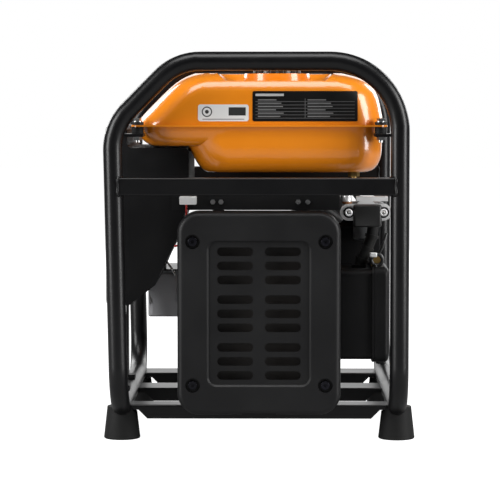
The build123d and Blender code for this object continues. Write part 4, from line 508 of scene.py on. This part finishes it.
def turned(foot: Place, top: Place, profile: tuple[tuple[float, float], ...]) -> Object:
    """Turn a profile round a straight axis.

    Args:
        foot: where the axis starts.
        top: where it ends.
        profile: share of the axis and radius, from foot to top.

    Returns:
        The closed piece.
    """
    axis = Vector(top) - Vector(foot)
    bpy.ops.mesh.primitive_circle_add(vertices=40, radius=profile[0][1], fill_type="NGON")
    piece = bpy.context.object
    pick(piece)
    bpy.ops.object.mode_set(mode="EDIT")
    bpy.ops.mesh.select_all(action="SELECT")
    for (share, radius), (last_share, last_radius) in zip(profile[1:], profile[:-1]):
        bpy.ops.mesh.extrude_region_move(
            TRANSFORM_OT_translate={"value": (0, 0, (share - last_share) * axis.length)})
        ratio = radius / last_radius
        centre = (0, 0, share * axis.length)
        bpy.ops.transform.resize(value=(ratio, ratio, 1), center_override=centre)
    bpy.ops.mesh.select_all(action="SELECT")
    bpy.ops.mesh.normals_make_consistent(inside=False)
    bpy.ops.object.mode_set(mode="OBJECT")
    piece.rotation_euler = axis.to_track_quat("Z", "Y").to_euler()
    piece.location = foot
    settle(piece)
    return piece


def strand(points: tuple[Place, ...], radius: float, closed: bool = False) -> Object:
    """Lead a round wire, lead or bead smoothly through points.

    Args:
        points: the places it passes.
        radius: its radius.
        closed: whether it returns to its start.

    Returns:
        The wire as a mesh.
    """
    bpy.ops.curve.primitive_bezier_curve_add()
    wire = bpy.context.object
    route = wire.data.splines[0]
    route.bezier_points.add(len(points) - len(route.bezier_points))
    for knot, place in zip(route.bezier_points, points):
        knot.co = place
        knot.handle_left_type = knot.handle_right_type = "AUTO"
    route.use_cyclic_u = closed
    route.resolution_u = 6
    wire.data.bevel_depth = radius
    wire.data.bevel_resolution = 4
    wire.data.use_fill_caps = not closed
    pick(wire)
    bpy.ops.object.convert(target="MESH")
    piece = bpy.context.object
    pick(piece)
    bpy.ops.object.mode_set(mode="EDIT")
    bpy.ops.mesh.select_all(action="SELECT")
    bpy.ops.mesh.remove_doubles(threshold=0.00001)
    bpy.ops.mesh.normals_make_consistent(inside=False)
    bpy.ops.object.mode_set(mode="OBJECT")
    settle(piece)
    return piece


def wire_ring(middle: Place, radius: float, wire: float, around: int = 40, section: int = 14) -> Object:
    """Make a round ring that faces the muffler end.

    Args:
        middle: its middle.
        radius: from its middle to the middle of its section.
        wire: radius of its section.
        around: faces round the ring.
        section: faces round the section.

    Returns:
        The ring, its place in its mesh.
    """
    bpy.ops.mesh.primitive_torus_add(
        location=middle, rotation=(math.radians(90), 0, 0), major_radius=radius, minor_radius=wire,
        major_segments=around, minor_segments=section)
    piece = bpy.context.object
    settle(piece)
    return piece


@dataclass
class Assembly:
    """A sub-assembly made of solids of one body or more."""

    title: str
    nodes: tuple[str, ...]

    def dress(self) -> None:
        """Give each solid of the sub-assembly its finish."""
        body_of = {n: b for b, members in frame["record"]["behaviour"]["bodies"].items() for n in members}
        slot_of = {row["node"]: row["material_slot"] for row in frame["record"]["subparts"]}
        for node in self.nodes:
            skin_of(node, body_of[node], slot_of[node])

    def build(self) -> None:
        """Dress the solids; sub-classes add their formed pieces."""
        self.dress()
        LOG.info("%s: %d solids dressed", self.title, len(self.nodes))


@dataclass
class Studio:
    """Floor, lights and camera.

    Attributes:
        eye: where the camera stands.
        target: the point at the middle of the picture.
        lens: focal length on a 36 mm sensor.
    """

    eye: tuple[float, float, float] = (0.0145, -3.214, 0.467)
    target: tuple[float, float, float] = (-0.012, -0.240, 0.261)
    lens: float = 161.4

    def camera(self) -> None:
        """Stand the camera and aim it."""
        bpy.ops.object.camera_add(location=self.eye)
        cam = bpy.context.object
        aim = Vector(self.target) - Vector(self.eye)
        cam.rotation_euler = aim.to_track_quat("-Z", "Y").to_euler()
        cam.data.lens = self.lens
        cam.data.clip_end = 50.0
        bpy.context.scene.camera = cam

    def lamp(self, name: str, place: tuple[float, float, float], size: tuple[float, float], power: float) -> None:
        """Hang one soft box that looks at the machine.

        Args:
            name: the lamp's name.
            place: where it hangs.
            size: its width and height.
            power: its power in watts.
        """
        bpy.ops.object.light_add(type="AREA", location=place)
        light = bpy.context.object
        light.name = name
        light.data.shape = "RECTANGLE"
        light.data.size, light.data.size_y = size
        light.data.energy = power
        light.rotation_euler = (Vector((0, 0, 0.25)) - Vector(place)).to_track_quat("-Z", "Y").to_euler()

    def backdrop(self) -> None:
        """Lay the pale floor and set the even white surroundings."""
        bpy.ops.mesh.primitive_plane_add(size=14.0, location=(0, 4.0, 0))
        floor = bpy.context.object
        floor.name = "floor"
        paint = bpy.data.materials.new("pale floor")
        paint.use_nodes = True
        shader = paint.node_tree.nodes["Principled BSDF"]
        shader.inputs["Base Color"].default_value = (0.32, 0.32, 0.32, 1.0)
        shader.inputs["Roughness"].default_value = 0.9
        shader.inputs["Emission Color"].default_value = (1.0, 1.0, 1.0, 1.0)
        seen = paint.node_tree.nodes.new("ShaderNodeLightPath")
        glow = paint.node_tree.nodes.new("ShaderNodeMath")
        glow.operation = "MULTIPLY"
        glow.inputs[1].default_value = 1.0
        paint.node_tree.links.new(seen.outputs["Is Camera Ray"], glow.inputs[0])
        paint.node_tree.links.new(glow.outputs[0], shader.inputs["Emission Strength"])
        floor.data.materials.append(paint)
        world = bpy.data.worlds.new("studio")
        world.use_nodes = True
        tree = world.node_tree
        sky = tree.nodes["Background"]
        sky.inputs["Color"].default_value = (1.0, 1.0, 1.0, 1.0)
        path = tree.nodes.new("ShaderNodeLightPath")
        level = tree.nodes.new("ShaderNodeMix")
        level.inputs["A"].default_value = 0.035
        level.inputs["B"].default_value = 1.0
        tree.links.new(path.outputs["Is Camera Ray"], level.inputs["Factor"])
        tree.links.new(level.outputs["Result"], sky.inputs["Strength"])
        bpy.context.scene.world = world
        bpy.context.scene.view_settings.view_transform = "Standard"

    def build(self) -> None:
        """Set up the whole studio."""
        self.camera()
        self.backdrop()
        self.lamp("left box", (-2.5, -1.5, 1.0), (1.1, 2.0), 66)
        self.lamp("right box", (2.5, -1.3, 1.0), (1.1, 2.0), 66)
        self.lamp("back wall", (0.0, 3.4, 0.9), (4.4, 1.7), 30)
        self.lamp("top box", (0.0, -0.9, 2.5), (2.4, 1.2), 48)
        self.lamp("back left box", (-1.8, 2.2, 1.4), (1.0, 1.6), 30)
        self.lamp("back right box", (1.8, 2.2, 1.4), (1.0, 1.6), 30)


@dataclass
class FrameAssembly(Assembly):
    """Tubes, rails and crossmembers, with the welds between them.

    Attributes:
        tube_radius: outside radius of the hoops.
        bead: radius of a weld bead.
        bead_half: from the middle of a rail to the bead's line.
        rail_half: half a rail's side.
        legs: the middle of each leg at the height of the rails.
    """

    tube_radius: float = 12.7 * MM
    bead: float = 1.7 * MM
    bead_half: float = 11.2 * MM
    rail_half: float = 11.5 * MM
    legs: tuple[tuple[str, float], ...] = (("left", -193.1 * MM), ("right", 187.0 * MM))

    def weld(self, name: str, leg_x: float, hoop_y: float, rail_z: float) -> None:
        """Lay one bead round a square rail where it meets a leg.

        Args:
            name: the bead's name.
            leg_x: middle of the leg.
            hoop_y: middle plane of the hoop.
            rail_z: middle of the rail.
        """
        side = -1.0 if leg_x > 0 else 1.0
        corners = ((-1, -1), (0, -1), (1, -1), (1, 0), (1, 1), (0, 1), (-1, 1), (-1, 0))
        path = []
        for across, up in corners:
            off = across * self.bead_half
            reach = math.sqrt(self.tube_radius ** 2 - off ** 2)
            path.append((leg_x + side * reach, hoop_y + off, rail_z + up * self.bead_half))
        bead = strand(tuple(path), self.bead, closed=True)
        finish_piece(bead, name, "machine", "powder_black", SMOOTH)

    def build(self) -> None:
        """Dress the solids and lay the rail welds."""
        super().build()
        low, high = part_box("tank_rails")
        for end, hoop_y in (("near", low.y + self.rail_half), ("far", high.y - self.rail_half)):
            for hand, leg_x in self.legs:
                self.weld(f"{end}_{hand}_rail_weld", leg_x, hoop_y, low.z + self.rail_half)


@dataclass
class StarterAssembly(Assembly):
    """Alternator, fan and pull starter, with a rope that follows the handle.

    Attributes:
        rope_steps: rings along the rope.
        rope_start: how far inside the cover the rope starts.
        rope_end: how far short of the handle's middle it ends.
        stretch: length at each end that keeps its shape; not used.
        eyelet_radius: radius of the eyelet's ring.
        eyelet_wire: radius of the ring's section.
        eyelet_sink: how far the ring sits under the cover's face.
    """

    rope_steps: int = 24
    rope_start: float = 2 * MM
    rope_end: float = 1 * MM
    stretch: float = 4 * MM
    eyelet_radius: float = 5.2 * MM
    eyelet_wire: float = 1.5 * MM
    eyelet_sink: float = 1.2 * MM

    def rope(self) -> None:
        """Run the rope from the cover's eyelet to the handle."""
        low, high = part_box("starter_rope")
        x, z = (low.x + high.x) / 2, (low.z + high.z) / 2
        radius = (high.x - low.x) / 2
        profile = tuple((step / self.rope_steps, radius) for step in range(self.rope_steps + 1))
        rope = turned((x, low.y + self.rope_start, z), (x, high.y - self.rope_end, z), profile)
        dress_piece(rope, "pull_rope", "rope", 50.0)
        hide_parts("starter_rope")
        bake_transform(rope)
        LOG.info("made pull_rope from machine to handle")

    def eyelet(self) -> None:
        """Ring the hole that the rope leaves the cover by."""
        low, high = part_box("starter_rope")
        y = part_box("recoil_cover")[1].y - self.eyelet_sink
        ring = wire_ring(((low.x + high.x) / 2, y, (low.z + high.z) / 2), self.eyelet_radius, self.eyelet_wire)
        finish_piece(ring, "rope_eyelet", "machine", "zinc_bolt", SMOOTH)

    def build(self) -> None:
        """Dress the solids, run the rope and ring its eyelet."""
        super().build()
        self.rope()
        self.eyelet()


@dataclass
class EngineAssembly(Assembly):
    """Crankcase, cylinder and head, with the spark lead.

    Attributes:
        lead_radius: radius of the spark lead.
        lead_root: from the plug's top corner back to where the lead starts, along X and Z.
        lead_route: where the lead passes, from its start.
    """

    lead_radius: float = 3.4 * MM
    lead_root: tuple[float, float] = (4 * MM, 6 * MM)
    lead_route: tuple[Place, ...] = (
        (0.0, 0.0, 0.0),
        (18 * MM, 14 * MM, -2 * MM),
        (36 * MM, 36 * MM, -26 * MM),
        (34 * MM, 56 * MM, -56 * MM),
    )

    def build(self) -> None:
        """Dress the solids and lead the spark lead to the flywheel side."""
        super().build()
        low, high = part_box("spark_plug")
        start = Vector((high.x - self.lead_root[0], (low.y + high.y) / 2, high.z - self.lead_root[1]))
        lead = strand(tuple(tuple(start + Vector(step)) for step in self.lead_route), self.lead_radius)
        finish_piece(lead, "spark_lead", "machine", "plug_rubber", SMOOTH)


@dataclass
class IntakeAssembly(Assembly):
    """Air cleaner, carburettor and hose, with clamps, union ring and back plate.

    Attributes:
        ear_radius: radius of the elbow's ears.
        ear_rise: height of the ears' middle over the elbow's foot.
        boot_place: the boot's middle from the elbow's near low corner.
        boot_size: the boot's size.
        cup_place: the sediment cup's foot from the same corner.
        cup_height: height of the cup.
        band_rise: foot and top of the cup's band.
        union_place: X and Y of the brass union's face.
        union_rise: height of the union over the air cleaner.
        clip_route: where the clip wire passes, from the union.
        rod_route: where the vent rod passes, from the union.
        plate_place: middle of the back plate.
        plate_size: size of the back plate.
        rib_place: middle of the back plate's rib.
        rib_size: size of the rib.
    """

    ear_radius: float = 11.5 * MM
    ear_rise: float = 17.0 * MM
    boot_place: Place = (37 * MM, -3.5 * MM, 12.5 * MM)
    boot_size: Place = (39 * MM, 9 * MM, 31 * MM)
    cup_place: Place = (9.5 * MM, 6 * MM, 23 * MM)
    cup_height: float = 19 * MM
    band_rise: tuple[float, float] = (5 * MM, 8.4 * MM)
    union_place: tuple[float, float] = (160 * MM, -174.5 * MM)
    union_rise: float = 8 * MM
    rod_route: tuple[Place, ...] = (
        (3 * MM, 0.0, 9 * MM), (8 * MM, 0.0, 20 * MM), (13 * MM, 3 * MM, 36 * MM))
    clip_route: tuple[Place, ...] = (
        (-2 * MM, -6 * MM, -6 * MM), (0.0, -8 * MM, -10.5 * MM), (4 * MM, -10 * MM, -18 * MM))
    plate_place: Place = (130 * MM, -96.5 * MM, 252 * MM)
    plate_size: Place = (76 * MM, 2.4 * MM, 74 * MM)
    rib_place: Place = (130 * MM, -98.6 * MM, 284 * MM)
    rib_size: Place = (70 * MM, 5 * MM, 5 * MM)

    def boot(self) -> None:
        """Fit the black boot that joins the elbow to the hose."""
        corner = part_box("intake_elbow")[0]
        boot = block(tuple(corner + Vector(self.boot_place)), self.boot_size, 3.8 * MM)
        finish_piece(boot, "elbow_boot", "machine", "gloss_black")

    def ear(self, index: int, x: float, y: float, z: float) -> None:
        """Fit one ear's washer, nut and stud end.

        Args:
            index: which ear.
            x: the ear's middle.
            y: near face of the elbow.
            z: height of the ear's middle.
        """
        washer = turned((x, y - 4.6 * MM, z), (x, y - 6.6 * MM, z),
                        ((0, 7.6 * MM), (0.7, 7.6 * MM), (1, 7.0 * MM)))
        finish_piece(washer, f"elbow_washer_{index}", "machine", "black_plastic")
        nut = wire_ring((x, y - 7.2 * MM, z), 3.9 * MM, 1.3 * MM, around=36, section=12)
        finish_piece(nut, f"elbow_nut_{index}", "machine", "zinc_plate", SMOOTH)
        stud = turned((x, y - 5 * MM, z), (x, y - 9 * MM, z), ((0, 1.9 * MM), (0.85, 1.9 * MM), (1, 1.2 * MM)))
        finish_piece(stud, f"elbow_stud_{index}", "machine", "zinc_bolt")

    def ears(self) -> None:
        """Fit the bolt ends of both ears."""
        low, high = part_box("intake_elbow")
        spacing = high.x - low.x - 2 * self.ear_radius
        for index in range(2):
            self.ear(index, low.x + self.ear_radius + index * spacing, low.y, low.z + self.ear_rise)

    def sediment_cup(self) -> None:
        """Stand the small metal cup and its copper band by the elbow's ear."""
        x, y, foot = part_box("intake_elbow")[0] + Vector(self.cup_place)
        cup = turned((x, y, foot), (x, y, foot + self.cup_height),
                     ((0, 5.2 * MM), (0.06, 6.2 * MM), (0.9, 6.2 * MM), (1, 5.6 * MM)))
        finish_piece(cup, "sediment_cup", "machine", "zinc_plate")
        band = turned((x, y, foot + self.band_rise[0]), (x, y, foot + self.band_rise[1]),
                      ((0, 6.4 * MM), (0.2, 6.7 * MM), (0.8, 6.7 * MM), (1, 6.4 * MM)))
        finish_piece(band, "sediment_cup_band", "machine", "stator_iron")

    def union(self) -> None:
        """Ring the brass union, clamp it and run its thin rod and clip wire."""
        face = Vector((*self.union_place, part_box("air_cleaner_case")[1].z + self.union_rise))
        ring = wire_ring(tuple(face), 7.4 * MM, 2.5 * MM)
        finish_piece(ring, "union_ring", "machine", "gloss_black", SMOOTH)
        clamp = block(tuple(face + Vector((-5 * MM, -2 * MM, 7 * MM))), (10 * MM, 4 * MM, 6.5 * MM), 1.6 * MM)
        finish_piece(clamp, "union_clamp", "machine", "zinc_plate")
        rod = strand(tuple(tuple(face + Vector(step)) for step in self.rod_route), 1.9 * MM)
        finish_piece(rod, "vent_rod", "machine", "gloss_black", SMOOTH)
        clip = strand(tuple(tuple(face + Vector(step)) for step in self.clip_route), 0.8 * MM)
        finish_piece(clip, "cleaner_clip_wire", "machine", "zinc_bolt", SMOOTH)

    def back_plate(self) -> None:
        """Stand the dark pressed plate behind the hose."""
        plate = block(self.plate_place, self.plate_size, 1.1 * MM)
        finish_piece(plate, "carburettor_back_plate", "machine", "black_plastic")
        rib = block(self.rib_place, self.rib_size, 1.6 * MM)
        finish_piece(rib, "carburettor_back_rib", "machine", "black_plastic")

    def build(self) -> None:
        """Dress the solids and add the small metalwork."""
        super().build()
        self.boot()
        self.ears()
        self.sediment_cup()
        self.union()
        self.back_plate()


@dataclass
class ControlAssembly(Assembly):
    """Control box, panel and inverter, with potting, screws and the choke rod.

    Attributes:
        slab_thick: thickness of the potting.
        slab_rough: how far the potting's surface strays.
        screw_inset: from the fascia's edges to its screws.
        screw_face: the fascia's face that the screws stand on.
        screw_height: height of a screw's head.
        rod_radius: radius of the choke rod.
        rod_route: where the choke rod passes.
    """

    slab_thick: float = 3 * MM
    slab_rough: float = 0.5 * MM
    screw_inset: float = 20 * MM
    screw_face: float = -199.5 * MM
    screw_height: float = 3 * MM
    rod_radius: float = 1.5 * MM
    rod_route: tuple[Place, ...] = (
        (-119 * MM, -60 * MM, 213 * MM), (-124 * MM, -60 * MM, 222 * MM), (-136 * MM, -60 * MM, 239 * MM))

    def potting(self) -> None:
        """Pour the rough potting on the inverter's near face."""
        low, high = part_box("inverter_module")
        slab = block(((low.x + high.x) / 2, low.y - 1.0 * MM, (low.z + high.z) / 2 - 1.5 * MM),
                     (high.x - low.x - 4 * MM, self.slab_thick, high.z - low.z - 6 * MM), 0.9 * MM)
        pick(slab)
        bpy.ops.object.mode_set(mode="EDIT")
        bpy.ops.mesh.select_all(action="SELECT")
        bpy.ops.mesh.subdivide(number_cuts=7)
        bpy.ops.transform.vertex_random(offset=self.slab_rough, seed=4)
        bpy.ops.object.mode_set(mode="OBJECT")
        finish_piece(slab, "inverter_potting", "machine", "module_grey", 80.0)

    def screws(self) -> None:
        """Fix the fascia with one screw at each corner."""
        low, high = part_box("control_fascia")
        spots = [(y, z) for z in (low.z + self.screw_inset, high.z - self.screw_inset)
                 for y in (low.y + self.screw_inset, high.y - self.screw_inset)]
        for index, (y, z) in enumerate(spots):
            screw = turned((self.screw_face, y, z), (self.screw_face - self.screw_height, y, z),
                           ((0, 3.6 * MM), (0.4, 3.6 * MM), (0.85, 2.8 * MM), (1, 1.4 * MM)))
            finish_piece(screw, f"fascia_screw_{index}", "machine", "black_bolt")

    def build(self) -> None:
        """Dress the solids and add the potting, screws and rod."""
        super().build()
        self.potting()
        self.screws()
        rod = strand(self.rod_route, self.rod_radius)
        finish_piece(rod, "choke_rod", "machine", "zinc_bolt", SMOOTH)


ASSEMBLIES: tuple[Assembly, ...] = (
    FrameAssembly("frame", ("near_hoop", "far_hoop", "tank_rails", "crossmembers", "rubber_feet", "zinc_fasteners",
                       "engine_bed", "rubber_mounts", "box_brackets")),
    Assembly("tank", ("tank_upper_shell", "tank_lower_shell", "fuel_strainer", "fuel_cap", "fuel_gauge",
                      "rating_plate", "advice_label", "brass_fittings", "fuel_hose")),
    Assembly("exhaust", ("muffler_cover", "muffler_body", "cover_bolts", "heat_shield")),
    EngineAssembly("engine", ("crankcase", "main_bearings", "cylinder_barrel", "cylinder_head", "valve_cover",
                        "spark_plug", "crankshaft", "piston", "oil_filler_plug")),
    StarterAssembly("alternator and starter", ("alternator_plate", "stator", "flywheel", "cooling_fan", "fan_shroud",
                                        "recoil_cover", "recoil_reel", "starter_handle")),
    IntakeAssembly("intake", ("air_cleaner_case", "air_cleaner_foam", "air_cleaner_lid", "intake_elbow",
                        "carburettor", "intake_manifold", "intake_hose")),
    ControlAssembly("controls", ("control_box", "control_fascia", "engine_switch_knob", "eco_rocker",
                          "breaker_button", "panel_outlets", "near_socket_lid", "far_socket_lid",
                          "lid_hinges", "indicator_lamps", "inverter_module", "lead_connector", "red_lead")),
)


def main() -> None:
    """Build the studio and every sub-assembly."""
    logging.basicConfig(level=logging.INFO, format="%(name)s: %(message)s")
    Studio().build()
    for assembly in ASSEMBLIES:
        assembly.build()


if __name__ == "__main__":
    main()
